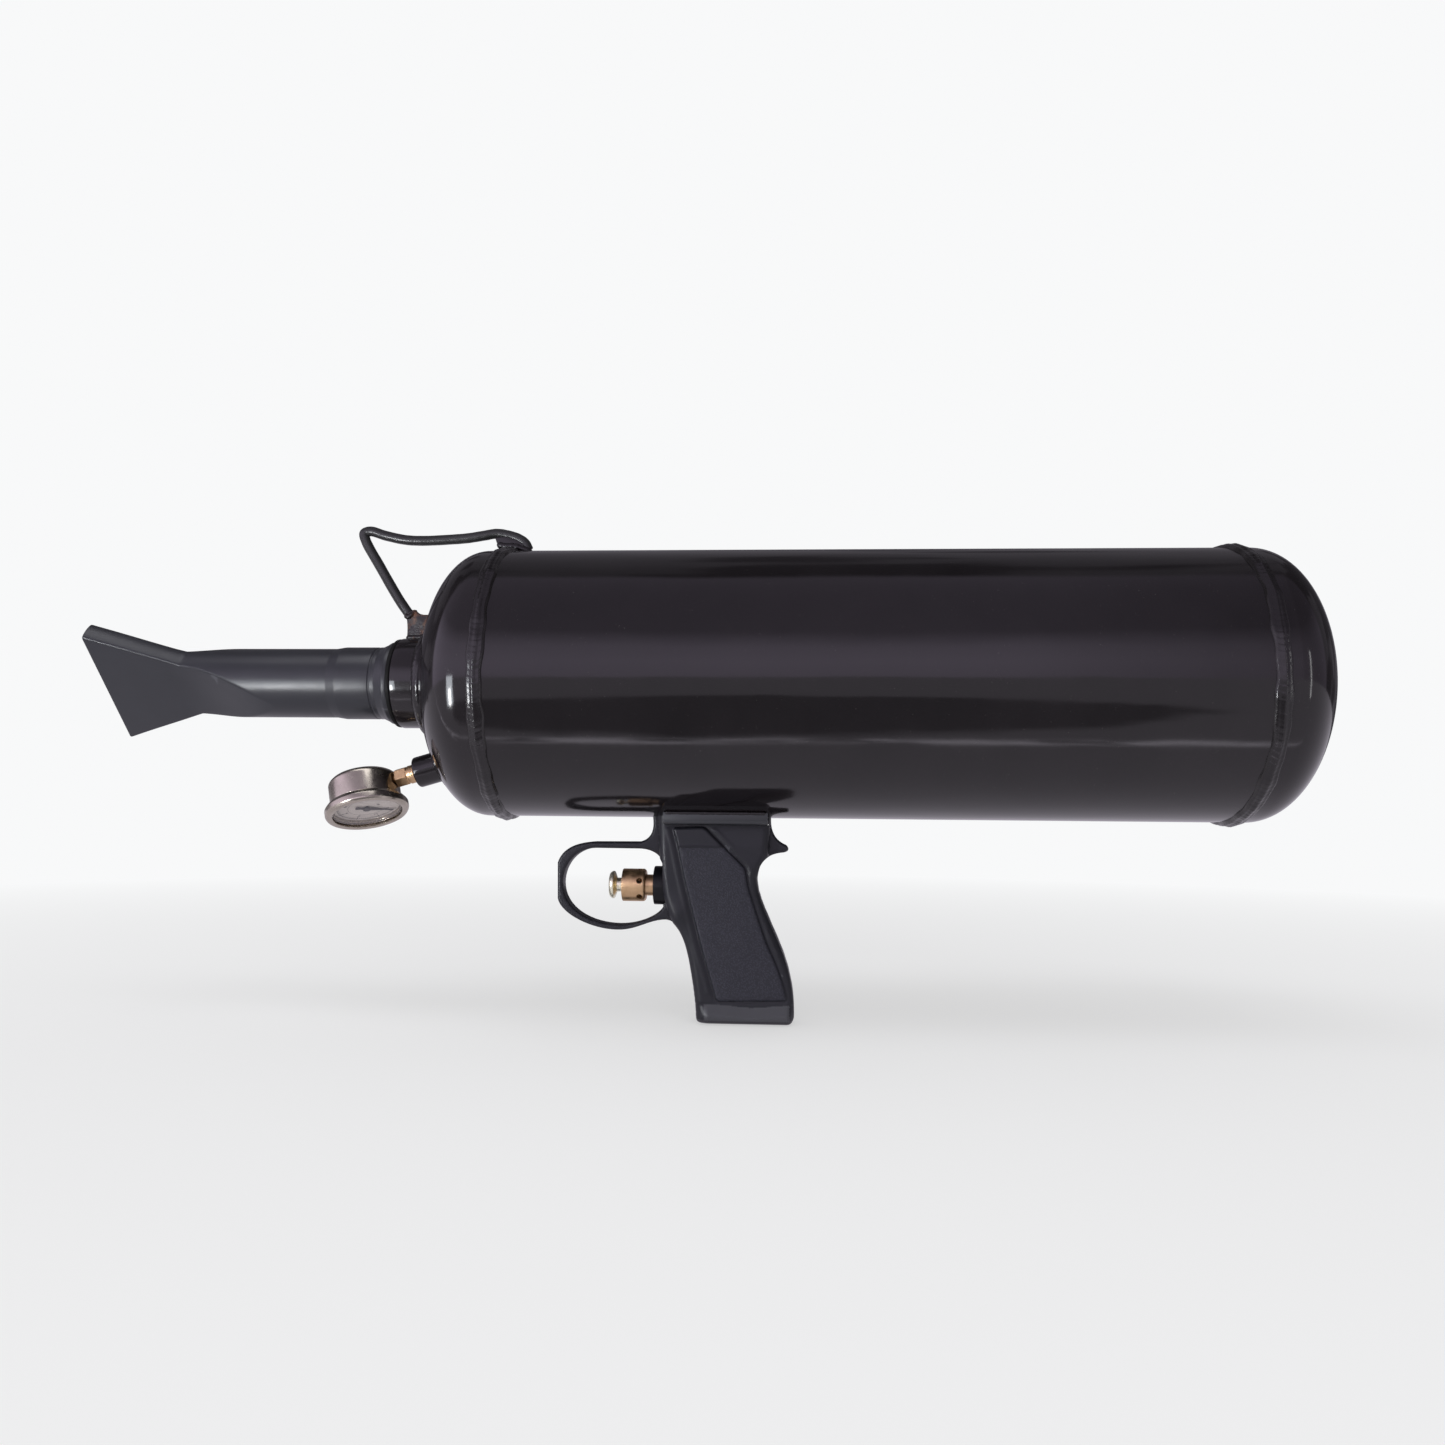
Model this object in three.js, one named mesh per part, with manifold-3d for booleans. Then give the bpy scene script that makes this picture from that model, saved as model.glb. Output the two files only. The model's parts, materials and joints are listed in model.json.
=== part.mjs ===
// Bead seater blaster tank: a compressed-air tank with a quick-release valve, a fan nozzle,
// a carrying handle, a pistol grip with a push-button pilot valve, a pressure gauge, a fill
// valve and a safety relief valve. Millimetres, +Z up, +X from the nozzle to the rear head.
// The origin is at the middle of the grip's flat base. The dimensions below are measured from
// the tank's centre, on its axis midway between the two seam welds, and one group moves them.
import * as THREE from 'three';
import { mergeVertices } from 'three/addons/utils/BufferGeometryUtils.js';
import Module from 'manifold-3d';

const wasm = await Module();
wasm.setup();

// ---------------------------------------------------------------- driving dimensions
const FIT = 0.3;                  // clearance between pieces that sit in or on each other

const TANK = {
  radius: 76, wall: 2, seam: 200.6, skirt: 8.5, dome: 37.5, squareness: 2.1, sides: 36,
};
const SEAM = { halfWidth: 5, height: 2.2, rootGap: 1 };

const NECK = { radius: 26, front: -263.4, back: -236, bore: 20.3, shoulder: -240.3, throat: 18.2 };
const BARREL_SEAL = { inner: 20.4, outer: 25.6, front: -266.1, back: -263.7 };
const BARREL = {
  back: -245.5, spigot: 19.9, flangeBack: -266.4, flangeFront: -268.8, flangeRadius: 23.8,
  coneMiddle: -270.6, coneMiddleRadius: 22.6, coneEnd: -274.4, collar: 20.9, collarEnd: -299.4,
  tube: 20, wall: 3,
};
const FAN = {
  start: -332.4, flare: -388.8, mouth: -440, skew: 0.06, turn: 48.5,
  slope: 0.4, halfThickness: 6.1, shoulder: 13.9, taper: 65, wall: 2.4,
};

const VALVE = {
  outer: 17.9, bore: 15.5, flange: 20, front: -245.2, flangeBack: -240.6, seat: -238,
  seatBore: 12, windowFront: -234, windowBack: -214, back: -167.5,
  pistonFront: -234.6, pistonBack: -197.5, crown: -231, cap: -178, capBack: -172.5,
};

const HANDLE = { rod: 2.9 };
const GAUGE = {
  x: -285, z: -60.9, dip: 16.5, lean: 18, caseRadius: 19.6, caseWall: 0.8, back: 6,
  bezelRadius: 23.1, front: -16.9, stem: 5.3, bossFront: 31.9, bossBack: 54, bossRadius: 8.9,
};

const CHANNEL = { front: -109.1, back: -51.7, half: 22.5, sheet: 2.5, top: -77.1, bottom: -79.6 };
const GRIP = { half: 15, guardHalf: 5.5, wall: 2.8, base: -188.4, baseMiddle: -63.25, split: 0.1 };
const GRIP_SCREWS = { top: [-73, -95], middle: [-73, -130], lower: [-62, -172] };
const TANG = { front: -80, back: -66, half: 2, bottom: -142 };

const TRIGGER = { z: -114.2, bore: 4.2, body: 9.1, vent: 1.7, socket: 10.75 };
const PILOT = { x: -88 };

const FILL = { x: 95, ball: 98, ballRadius: 8.5, bore: 5 };
const RELIEF = { x: 35 };

// ---------------------------------------------------------------- materials
function finish(color, roughness, metalness) {
  return new THREE.MeshStandardMaterial({ color, roughness, metalness });
}

const BLACK_GLOSS = finish(0x16161a, 0.18, 0.0);
const SATIN_BLACK = finish(0x35363b, 0.5, 0.0);
const BLACK_STEEL = finish(0x222226, 0.4, 0.3);
const BRASS = finish(0xc9a36a, 0.3, 1.0);
const CHROME = finish(0xcfc8c8, 0.15, 1.0);
const STEEL = finish(0x9a9a9e, 0.35, 1.0);
const ALUMINIUM = finish(0xb4b6ba, 0.4, 1.0);
const RUBBER = finish(0x1b1b1b, 0.85, 0.0);
const NYLON = finish(0x2c4a86, 0.45, 0.0);
const PTFE = finish(0xf0efe8, 0.5, 0.0);
const DIAL_WHITE = finish(0xf2f1ec, 0.6, 0.0);
const GLASS = finish(0xe8eef0, 0.05, 0.0);
const RED_VINYL = finish(0xb01c1c, 0.5, 0.0);

// ---------------------------------------------------------------- geometry helpers
function signedVolume(position, index) {
  const [a, b, c] = [new THREE.Vector3(), new THREE.Vector3(), new THREE.Vector3()];
  let sum = 0;
  for (let i = 0; i < index.length; i += 3) {
    a.fromBufferAttribute(position, index[i]);
    b.fromBufferAttribute(position, index[i + 1]);
    c.fromBufferAttribute(position, index[i + 2]);
    sum += a.dot(b.cross(c)) / 6;
  }
  return sum;
}

// One closed surface: shared vertices merged, empty triangles dropped, faces pointing out.
function closed(geometry) {
  const bare = geometry.clone();
  bare.deleteAttribute('normal');
  bare.deleteAttribute('uv');
  const merged = mergeVertices(bare, 1e-4);
  const all = merged.index.array;
  const kept = [];
  for (let i = 0; i < all.length; i += 3) {
    const [a, b, c] = all.slice(i, i + 3);
    if (a !== b && b !== c && c !== a) kept.push(a, b, c);
  }
  if (signedVolume(merged.attributes.position, kept) < 0) kept.reverse();
  merged.setIndex(kept);
  return merged;
}

function toSolid(geometry) {
  const skin = closed(geometry);
  const vertProperties = new Float32Array(skin.attributes.position.array);
  const triVerts = new Uint32Array(skin.index.array);
  return new wasm.Manifold(new wasm.Mesh({ numProp: 3, vertProperties, triVerts }));
}

function toGeometry(solid) {
  const { vertProperties, triVerts } = solid.getMesh();
  const geometry = new THREE.BufferGeometry();
  geometry.setAttribute('position', new THREE.BufferAttribute(vertProperties, 3));
  geometry.setIndex(new THREE.BufferAttribute(triVerts, 1));
  return geometry;
}

function cut(base, ...tools) {
  return toGeometry(tools.reduce((left, tool) => left.subtract(toSolid(tool)), toSolid(base)));
}

function join(base, ...others) {
  return toGeometry(others.reduce((sum, other) => sum.add(toSolid(other)), toSolid(base)));
}

function common(a, b) {
  return toGeometry(toSolid(a).intersect(toSolid(b)));
}

// Turns the lathe's own Y axis onto the named axis.
function alongAxis(geometry, axis) {
  if (axis === 'x') geometry.rotateZ(-Math.PI / 2);
  if (axis === 'z') geometry.rotateX(Math.PI / 2);
  return geometry;
}

// A turned piece: each profile point is [distance along the axis, radius].
function turned(axis, profile, sides = 12) {
  const points = profile.map(([along, radius]) => new THREE.Vector2(radius, along));
  return alongAxis(new THREE.LatheGeometry(points, sides), axis);
}

// The same, with a bore: the profile's last point joins its first.
function ring(axis, profile, sides = 12) {
  return turned(axis, [...profile, profile[0]], sides);
}

function rod(axis, radius, from, to, sides = 12) {
  return turned(axis, [[from, 0], [from, radius], [to, radius], [to, 0]], sides);
}

function sleeve(axis, inner, outer, from, to, sides = 12) {
  return ring(axis, [[from, inner], [from, outer], [to, outer], [to, inner]], sides);
}

function block(x0, x1, y0, y1, z0, z1) {
  const box = new THREE.BoxGeometry(x1 - x0, y1 - y0, z1 - z0);
  return box.translate((x0 + x1) / 2, (y0 + y1) / 2, (z0 + z1) / 2);
}

function regularPolygon(radius, sides) {
  return Array.from({ length: sides }, (_, i) => {
    const turn = (2 * Math.PI * i) / sides;
    return new THREE.Vector2(radius * Math.cos(turn), radius * Math.sin(turn));
  });
}

// A rod or, with a bore, a tube that follows a curve.
function swept(curve, radius, steps, sides = 10, bore = 0) {
  const section = new THREE.Shape(regularPolygon(radius, sides));
  if (bore > 0) section.holes.push(new THREE.Path(regularPolygon(bore, sides).reverse()));
  return new THREE.ExtrudeGeometry(section, { steps, extrudePath: curve });
}

// A smooth curve through [x, z] points in the object's middle plane.
function middlePlaneCurve(points) {
  const path = points.map(([x, z]) => new THREE.Vector3(x, 0, z));
  return new THREE.CatmullRomCurve3(path, false, 'centripetal');
}

// An outline in the X-Z plane, extruded evenly to both sides of the middle plane.
function plate(outline, half, bevel = 0, curveSegments = 4) {
  const options = {
    depth: 2 * (half - bevel), curveSegments, bevelEnabled: bevel > 0,
    bevelThickness: bevel, bevelSize: bevel, bevelOffset: -bevel, bevelSegments: 2,
  };
  const geometry = new THREE.ExtrudeGeometry(outline, options);
  return geometry.translate(0, 0, bevel - half).rotateX(Math.PI / 2);
}

class Helix extends THREE.Curve {
  constructor(axis, radius, from, to, turns) {
    super();
    Object.assign(this, { axis, radius, from, to, turns });
  }

  getPoint(t, target = new THREE.Vector3()) {
    const turn = 2 * Math.PI * this.turns * t;
    const along = this.from + (this.to - this.from) * t;
    const [u, v] = [this.radius * Math.cos(turn), this.radius * Math.sin(turn)];
    return this.axis === 'x' ? target.set(along, u, v) : target.set(u, along, v);
  }
}

// A coil whose wire touches neither end plane.
function coil(axis, radius, wire, from, to, turns) {
  const helix = new Helix(axis, radius, from + wire, to - wire, turns);
  return swept(helix, wire, turns * 7, 4);
}

function part(name, geometry, material) {
  const mesh = new THREE.Mesh(closed(geometry), material);
  mesh.name = name;
  return mesh;
}

function group(...members) {
  const result = new THREE.Group();
  result.add(...members);
  return result;
}

// ---------------------------------------------------------------- tank
// Dome outline from the skirt to radius `inner`, as [x, radius], on the +X side.
function domeOutline(radius, depth, inner, steps) {
  const power = 2 / TANK.squareness;
  const start = TANK.seam + TANK.skirt;
  const end = Math.asin((inner / radius) ** (1 / power));
  return Array.from({ length: steps + 1 }, (_, i) => {
    const angle = Math.PI / 2 + (end - Math.PI / 2) * (i / steps);
    return [start + depth * Math.cos(angle) ** power, radius * Math.sin(angle) ** power];
  });
}

function headProfile(hole) {
  const edge = TANK.seam + SEAM.rootGap / 2;
  const inside = TANK.radius - TANK.wall;
  const outer = domeOutline(TANK.radius, TANK.dome, hole, 5);
  const inner = domeOutline(inside, TANK.dome - TANK.wall, hole, 3).reverse();
  return [[edge, inside], [edge, TANK.radius], ...outer, ...inner];
}

function mirrored(profile) {
  return profile.map(([along, radius]) => [-along, radius]);
}

function seamWeld(side) {
  const { halfWidth: w, height, rootGap } = SEAM;
  const r = TANK.radius + 0.2;
  const root = rootGap / 2 - 0.2;
  const bead = Array.from({ length: 3 }, (_, i) => {
    const across = w * (1 - i);
    return [across, r + (height - 0.2) * Math.sqrt(Math.max(0, 1 - (across / w) ** 2))];
  });
  const profile = [[-root, TANK.radius - TANK.wall], [-root, r], ...bead.reverse(), [root, r],
    [root, TANK.radius - TANK.wall]];
  return ring('x', profile.map(([along, radius]) => [side * TANK.seam + along, radius]), TANK.sides);
}

function tank() {
  const end = TANK.seam - SEAM.rootGap / 2;
  const inside = TANK.radius - TANK.wall;
  const tube = sleeve('x', inside, TANK.radius, -end, end, TANK.sides);
  const pilotHole = rod('z', 8.3, -80, -60).translate(PILOT.x, 0, 0);
  const fillHole = rod('y', 13.3, 60, 90).translate(FILL.x, 0, 0);
  const reliefHole = rod('y', 10.3, 60, 90).translate(RELIEF.x, 0, 0);
  const frontHead = ring('x', mirrored(headProfile(NECK.radius + FIT)), TANK.sides);
  const gaugeHole = gaugePlaced(rod('x', GAUGE.bossRadius + FIT, 30, 62));
  const rearProfile = headProfile(0);
  return group(
    part('tank_shell', cut(tube, pilotHole, fillHole, reliefHole), BLACK_GLOSS),
    part('front_head', cut(frontHead, gaugeHole), BLACK_GLOSS),
    part('rear_head', ring('x', rearProfile, TANK.sides), BLACK_GLOSS),
    part('front_seam_weld', seamWeld(-1), BLACK_GLOSS),
    part('rear_seam_weld', seamWeld(1), BLACK_GLOSS),
  );
}

function outlet() {
  const { radius, front, back, bore, shoulder, throat } = NECK;
  const neck = ring('x', [[front, bore], [front, radius - 0.8], [front + 0.8, radius], [back, radius],
    [back, throat], [shoulder, throat], [shoulder, bore]], TANK.sides);
  const r = radius + 0.2;
  const fillet = ring('x', [[-250.5, r], [-249.6, r + 1.6], [-247.6, r + 3.6], [-244.9, r + 6],
    [-243.7, r + 6], [-244.9, r]], TANK.sides);
  return group(
    part('outlet_neck', neck, BLACK_GLOSS),
    part('neck_weld', fillet, BLACK_GLOSS),
  );
}

// ---------------------------------------------------------------- quick-release valve
function releaseValve() {
  const v = VALVE;
  const tube = ring('x', [[v.front, v.seatBore], [v.front, v.flange], [v.flangeBack, v.flange],
    [v.flangeBack, v.outer], [v.back, v.outer], [v.back, v.bore], [v.seat, v.bore],
    [v.seat, v.seatBore]]);
  const windowTools = [0, 1, 2].map((i) => {
    const slot = block(v.windowFront, v.windowBack, -6, 6, -30, 30);
    return slot.rotateX((i * Math.PI) / 3);
  });
  const clipGroove = sleeve('x', v.bore - 1, v.bore + 1, -172.2, -170);
  const skin = v.bore - 0.25;
  const piston = turned('x', [[v.pistonFront, 0], [v.pistonFront, skin], [-205.2, skin],
    [-205.2, skin - 1.9], [-202.2, skin - 1.9], [-202.2, skin], [v.pistonBack, skin],
    [v.pistonBack, skin - 3], [v.crown, skin - 3], [v.crown, 0]]);
  const pistonRing = ring('x', [[-205, skin - 1.7], [-205, v.bore - 0.1], [-202.4, v.bore - 0.1],
    [-202.4, skin - 1.7]]);
  const cap = ring('x', [[v.cap, 4.6], [v.cap, 13.2], [v.cap + 2, 13.2], [v.cap + 2, v.bore - 0.2],
    [v.capBack, v.bore - 0.2], [v.capBack, 4.6]]);
  const clip = cut(sleeve('x', v.bore - 2.2, v.bore + 0.7, -171.9, -170.3),
    block(-173, -169, -3, 3, 5, 20));
  const fitting = ring('x', [[v.cap + 0.4, 1.6], [v.cap + 0.4, 4.3], [-172.2, 4.3], [-172.2, 7.4],
    [-167.2, 7.4], [-167.2, 5.4], [-158, 5.4], [-158, 3.3], [-166, 3.3], [-166, 1.6]], 12);
  const bossTop = -67.5;
  const line = middlePlaneCurve([[-165.7, 0], [-150, 0], [-122, -8], [-97, -32], [PILOT.x, -54],
    [PILOT.x, bossTop]]);
  return group(
    part('valve_housing', cut(tube, ...windowTools, clipGroove), ALUMINIUM),
    part('valve_piston', piston, ALUMINIUM),
    part('piston_ring', pistonRing, RUBBER),
    part('valve_pad', rod('x', 14, v.seat + 0.15, v.pistonFront - 0.1), RUBBER),
    part('valve_spring', coil('x', 8.5, 0.9, v.crown + 0.2, v.cap - 0.2, 6), STEEL),
    part('valve_cap', cap, ALUMINIUM),
    part('valve_retaining_ring', clip, STEEL),
    part('valve_pilot_fitting', fitting, BRASS),
    part('pilot_tube', swept(line, 2.7, 16, 6, 1.8), NYLON),
  );
}

// ---------------------------------------------------------------- barrel and fan nozzle
// One cross-section of the barrel at [x, radius, half-width, half-thickness]: two side arcs
// of the given radius joined by two flats. A half-thickness near the radius gives a circle.
function barrelSection([x, radius, halfWidth, halfThickness, skew = 0]) {
  const turn = THREE.MathUtils.degToRad(FAN.turn);
  const flat = Math.min(halfThickness, radius * 0.995);
  const reach = Math.asin(flat / radius);
  const arcSteps = 8;
  const flatSteps = 2;
  const shift = halfWidth - radius;
  const outline = [];
  for (const side of [1, -1]) {
    for (let i = 0; i <= arcSteps; i += 1) {
      const angle = reach * ((2 * i) / arcSteps - 1);
      outline.push([side * (shift + radius * Math.cos(angle)), side * radius * Math.sin(angle)]);
    }
    const edge = side * (shift + radius * Math.cos(reach));
    for (let i = 1; i < flatSteps; i += 1) {
      outline.push([edge * (1 - (2 * i) / flatSteps), side * flat]);
    }
  }
  return outline.map(([u, w]) => new THREE.Vector3(
    x + skew * u,
    -w * Math.cos(turn) - u * Math.sin(turn),
    -w * Math.sin(turn) + u * Math.cos(turn),
  ));
}

// A closed skin through a loop of sections: out along the outside, back along the bore.
function loft(sections) {
  const rings = sections.map(barrelSection);
  const count = rings[0].length;
  const position = rings.flat().flatMap((p) => [p.x, p.y, p.z]);
  const index = [];
  rings.forEach((_, i) => {
    const next = (i + 1) % rings.length;
    for (let j = 0; j < count; j += 1) {
      const k = (j + 1) % count;
      const [a, b, c, d] = [i * count + j, i * count + k, next * count + j, next * count + k];
      index.push(a, b, c, b, d, c);
    }
  });
  const geometry = new THREE.BufferGeometry();
  geometry.setAttribute('position', new THREE.Float32BufferAttribute(position, 3));
  geometry.setIndex(index);
  return geometry;
}

// Half-thickness and half-width of the fan at x, seen from outside.
function fanSize(x) {
  const along = THREE.MathUtils.smoothstep(FAN.start - x, 0, FAN.taper);
  const halfThickness = FAN.halfThickness + FAN.shoulder * (1 - along) ** 1.15;
  const halfWidth = BARREL.tube + FAN.slope * Math.max(0, FAN.flare - x);
  return [halfWidth, halfThickness];
}

function nozzleBarrel() {
  const b = BARREL;
  const { tube, wall } = b;
  const outer = [[b.back, b.spigot], [b.flangeBack, b.spigot], [b.flangeBack, b.flangeRadius],
    [b.flangeFront, b.flangeRadius], [b.coneMiddle, b.coneMiddleRadius], [b.coneEnd, b.collar],
    [b.collarEnd, b.collar], [b.collarEnd - 0.8, tube], [FAN.start, tube]]
    .map(([x, r]) => [x, r, r, r]);
  const stations = [8, 17, 27, 37, 47, 57, 75, 92];
  const fan = stations.map((s) => [FAN.start - s, tube, ...fanSize(FAN.start - s)]);
  const lip = [3, 1, 0].map((back, i) => {
    const x = FAN.mouth + back;
    const [halfWidth, halfThickness] = fanSize(x);
    return [x, tube, halfWidth - [0, 0.4, 1.6][i], halfThickness, FAN.skew];
  });
  const bore = tube - wall;
  const hollow = (x, skew) => {
    const [halfWidth, halfThickness] = fanSize(x);
    return [x, bore, Math.max(bore, halfWidth - wall), halfThickness - FAN.wall, skew];
  };
  const inner = [hollow(FAN.mouth, FAN.skew), hollow(FAN.mouth + 12, 0),
    ...stations.slice(0, -1).reverse().map((s) => hollow(FAN.start - s, 0)),
    [FAN.start, bore, bore, bore], [BARREL.back, bore, bore, bore]];
  return part('nozzle_barrel', loft([...outer, ...fan, ...lip, ...inner]), SATIN_BLACK);
}

function barrel() {
  const { inner, outer, front, back } = BARREL_SEAL;
  return group(
    nozzleBarrel(),
    part('barrel_seal', sleeve('x', inner, outer, front, back, TANK.sides), RUBBER),
  );
}

// ---------------------------------------------------------------- carrying handle
function handle() {
  const line = middlePlaneCurve([[-192.4, 78.5], [-194.6, 82.6], [-198.6, 85.4], [-205.6, 87.6],
    [-211.6, 88.4], [-219, 87.3], [-228, 85.9], [-238, 85.1], [-256, 84.4], [-266, 85], [-278, 87.6],
    [-287, 90.4], [-290.6, 89], [-289.6, 84.5], [-280.6, 69.2], [-267.9, 48.6], [-260.5, 38.5]]);
  const bar = swept(line, HANDLE.rod, 34, 8);
  const lug = new THREE.Shape();
  lug.moveTo(-262, 26.6);
  lug.lineTo(-251.2, 26.6);
  lug.lineTo(-250.6, 28.6);
  lug.lineTo(-247.6, 31.4);
  lug.lineTo(-244.6, 33.2);
  lug.lineTo(-241.6, 43.5);
  lug.quadraticCurveTo(-252, 36.5, -258.5, 43);
  lug.lineTo(-263.2, 41);
  lug.quadraticCurveTo(-261.4, 34, -262, 26.6);
  return part('front_handle', join(bar, plate(lug, 3.6, 0.8, 5)), BLACK_GLOSS);
}

// ---------------------------------------------------------------- pressure gauge
// The gauge's own frame: +X along the stem to the tank, -Z out of the dial.
function gaugeRotation() {
  const { degToRad } = THREE.MathUtils;
  return new THREE.Euler(-degToRad(GAUGE.lean), -degToRad(GAUGE.dip), 0, 'YXZ');
}

function gaugePlaced(geometry) {
  const place = new THREE.Matrix4().makeRotationFromEuler(gaugeRotation());
  return geometry.applyMatrix4(place.setPosition(GAUGE.x, 0, GAUGE.z));
}

function gaugeSocket() {
  const stem = ring('x', [[6, 1.2], [6, 3], [20.2, 3], [20.2, 5.6], [26.6, 5.6], [26.6, GAUGE.stem],
    [42, GAUGE.stem], [42, 1.2]]);
  const foot = cut(block(-4, 8, -5, 5, -4, 4), rod('x', 1.2, 5, 9));
  return join(foot, stem);
}

function gaugeMovement() {
  const upper = sleeve('z', 1.3, 7, -9.4, -8.4);
  const posts = [-1, 1].map((side) => rod('z', 1.1, -8.6, -4.4, 10).translate(2, side * 3.4, 0));
  return join(upper, ...posts);
}

function bourdonTube() {
  const from = THREE.MathUtils.degToRad(38);
  const sweep = THREE.MathUtils.degToRad(250);
  class Arc extends THREE.Curve {
    getPoint(t, target = new THREE.Vector3()) {
      const angle = from + sweep * t;
      return target.set(13.5 * Math.cos(angle), 13.5 * Math.sin(angle), 0);
    }
  }
  return swept(new Arc(), 1.7, 18, 6);
}

function gaugeNeedle() {
  const z0 = -13.4;
  const pointer = new THREE.Shape();
  pointer.moveTo(-6, -1.1);
  pointer.lineTo(-2, -1.1);
  pointer.lineTo(0, -2.2);
  pointer.lineTo(15.5, -0.35);
  pointer.lineTo(15.5, 0.35);
  pointer.lineTo(0, 2.2);
  pointer.lineTo(-2, 1.1);
  pointer.lineTo(-6, 1.1);
  const blade = new THREE.ExtrudeGeometry(pointer, { depth: 0.6, bevelEnabled: false });
  blade.translate(0, 0, z0).rotateZ(Math.PI / 4);
  return join(blade, rod('z', 0.9, z0 + 0.3, -7.2, 12), rod('z', 2.4, z0 - 0.5, z0 + 0.3, 16));
}

function gauge() {
  const g = GAUGE;
  const inner = g.caseRadius - g.caseWall;
  const shell = turned('z', [[g.back, 0], [g.back, g.caseRadius - 2.4], [g.back - 0.8, g.caseRadius - 0.7],
    [g.back - 2.4, g.caseRadius], [-13.8, g.caseRadius], [-13.8, inner], [g.back - 2.6, inner],
    [g.back - 0.8, inner - 2], [g.back - 0.8, 0]], 24);
  const stemHole = rod('x', 3.4, 15, 25);
  const dial = sleeve('z', 1.5, 18.4, -12.2, -11.4, 24);
  const lens = rod('z', 20.6, -16, -14, 24);
  const bezel = ring('z', [[-9.6, 19.9], [-9.6, 21.2], [-12, g.bezelRadius],
    [-15.4, g.bezelRadius], [g.front, 21.4], [g.front, 19.2], [-16.3, 18.9],
    [-16.3, 20.9], [-13.5, 20.9], [-13.5, 19.9]], 24);
  const boss = ring('x', [[g.bossFront, 5.6], [g.bossFront, g.bossRadius - 0.8],
    [g.bossFront + 0.8, g.bossRadius], [g.bossBack, g.bossRadius], [g.bossBack, 5.6]], 16);
  const assembly = group(
    part('gauge_case', cut(shell, stemHole), CHROME),
    part('gauge_socket', gaugeSocket(), BRASS),
    part('gauge_bourdon_tube', bourdonTube(), BRASS),
    part('gauge_movement', gaugeMovement(), BRASS),
    part('gauge_dial', dial, DIAL_WHITE),
    part('gauge_needle', gaugeNeedle(), SATIN_BLACK),
    part('gauge_lens', lens, GLASS),
    part('gauge_bezel', bezel, CHROME),
    part('gauge_boss', boss, BLACK_GLOSS),
  );
  assembly.rotation.copy(gaugeRotation());
  assembly.position.set(g.x, 0, g.z);
  return assembly;
}

// ---------------------------------------------------------------- pistol grip
function gripBracket() {
  const c = CHANNEL;
  const profile = new THREE.Shape();
  profile.moveTo(-c.half, -70);
  profile.lineTo(-c.half, c.bottom + 2);
  profile.quadraticCurveTo(-c.half, c.bottom, -c.half + 2, c.bottom);
  profile.lineTo(c.half - 2, c.bottom);
  profile.quadraticCurveTo(c.half, c.bottom, c.half, c.bottom + 2);
  profile.lineTo(c.half, -70);
  profile.lineTo(c.half - c.sheet, -70);
  profile.lineTo(c.half - c.sheet, c.top);
  profile.lineTo(-c.half + c.sheet, c.top);
  profile.lineTo(-c.half + c.sheet, -70);
  const options = { depth: c.back - c.front, bevelEnabled: false, curveSegments: 3 };
  const channel = new THREE.ExtrudeGeometry(profile, options);
  channel.rotateX(Math.PI / 2).rotateZ(Math.PI / 2).translate(c.front, 0, 0);
  const { front, back, half, bottom } = TANG;
  const tang = block(front, back, -half, half, bottom, c.bottom + 0.5);
  const holes = [GRIP_SCREWS.top, GRIP_SCREWS.middle]
    .map(([x, z]) => rod('y', 2.4, -4, 4, 12).translate(x, 0, z));
  const tankClearance = rod('x', TANK.radius + FIT, -120, -40, TANK.sides);
  const hoseHole = rod('z', 9, -82, -74).translate(PILOT.x, 0, 0);
  return cut(join(channel, tang), tankClearance, hoseHole, ...holes);
}

function frameOutline() {
  const s = new THREE.Shape();
  s.moveTo(-116.6, -76.4);
  s.quadraticCurveTo(-115, -88, -124, -89.8);
  s.lineTo(-149.5, -90);
  s.quadraticCurveTo(-167, -91, -170.4, -102);
  s.lineTo(-170, -122);
  s.bezierCurveTo(-168, -131, -150, -139, -136.1, -139);
  s.bezierCurveTo(-125, -139.3, -118, -133, -108.5, -133);
  s.quadraticCurveTo(-99, -134, -95.2, -153.9);
  s.quadraticCurveTo(-91.2, -174, -90.9, -185);
  s.lineTo(-86, GRIP.base);
  s.lineTo(-40.5, GRIP.base);
  s.quadraticCurveTo(-36.9, GRIP.base, -36.9, -183);
  s.quadraticCurveTo(-36.5, -166, -44.3, -147);
  s.bezierCurveTo(-53, -127, -58, -118, -57.6, -109);
  s.quadraticCurveTo(-56.5, -96, -43, -95);
  s.quadraticCurveTo(-38.6, -94, -41.5, -91);
  s.quadraticCurveTo(-50.5, -87.5, -50.2, -76.4);
  const guard = new THREE.Path();
  guard.moveTo(-110.2, -101.5);
  guard.quadraticCurveTo(-114, -93.8, -124.3, -93.7);
  guard.lineTo(-148.3, -93.6);
  guard.bezierCurveTo(-160, -93.6, -167.2, -103, -167.2, -113.2);
  guard.bezierCurveTo(-167, -128, -151, -136, -135, -136);
  guard.bezierCurveTo(-124, -136, -114, -131.5, -110.2, -126);
  s.holes.push(guard);
  return s;
}

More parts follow.
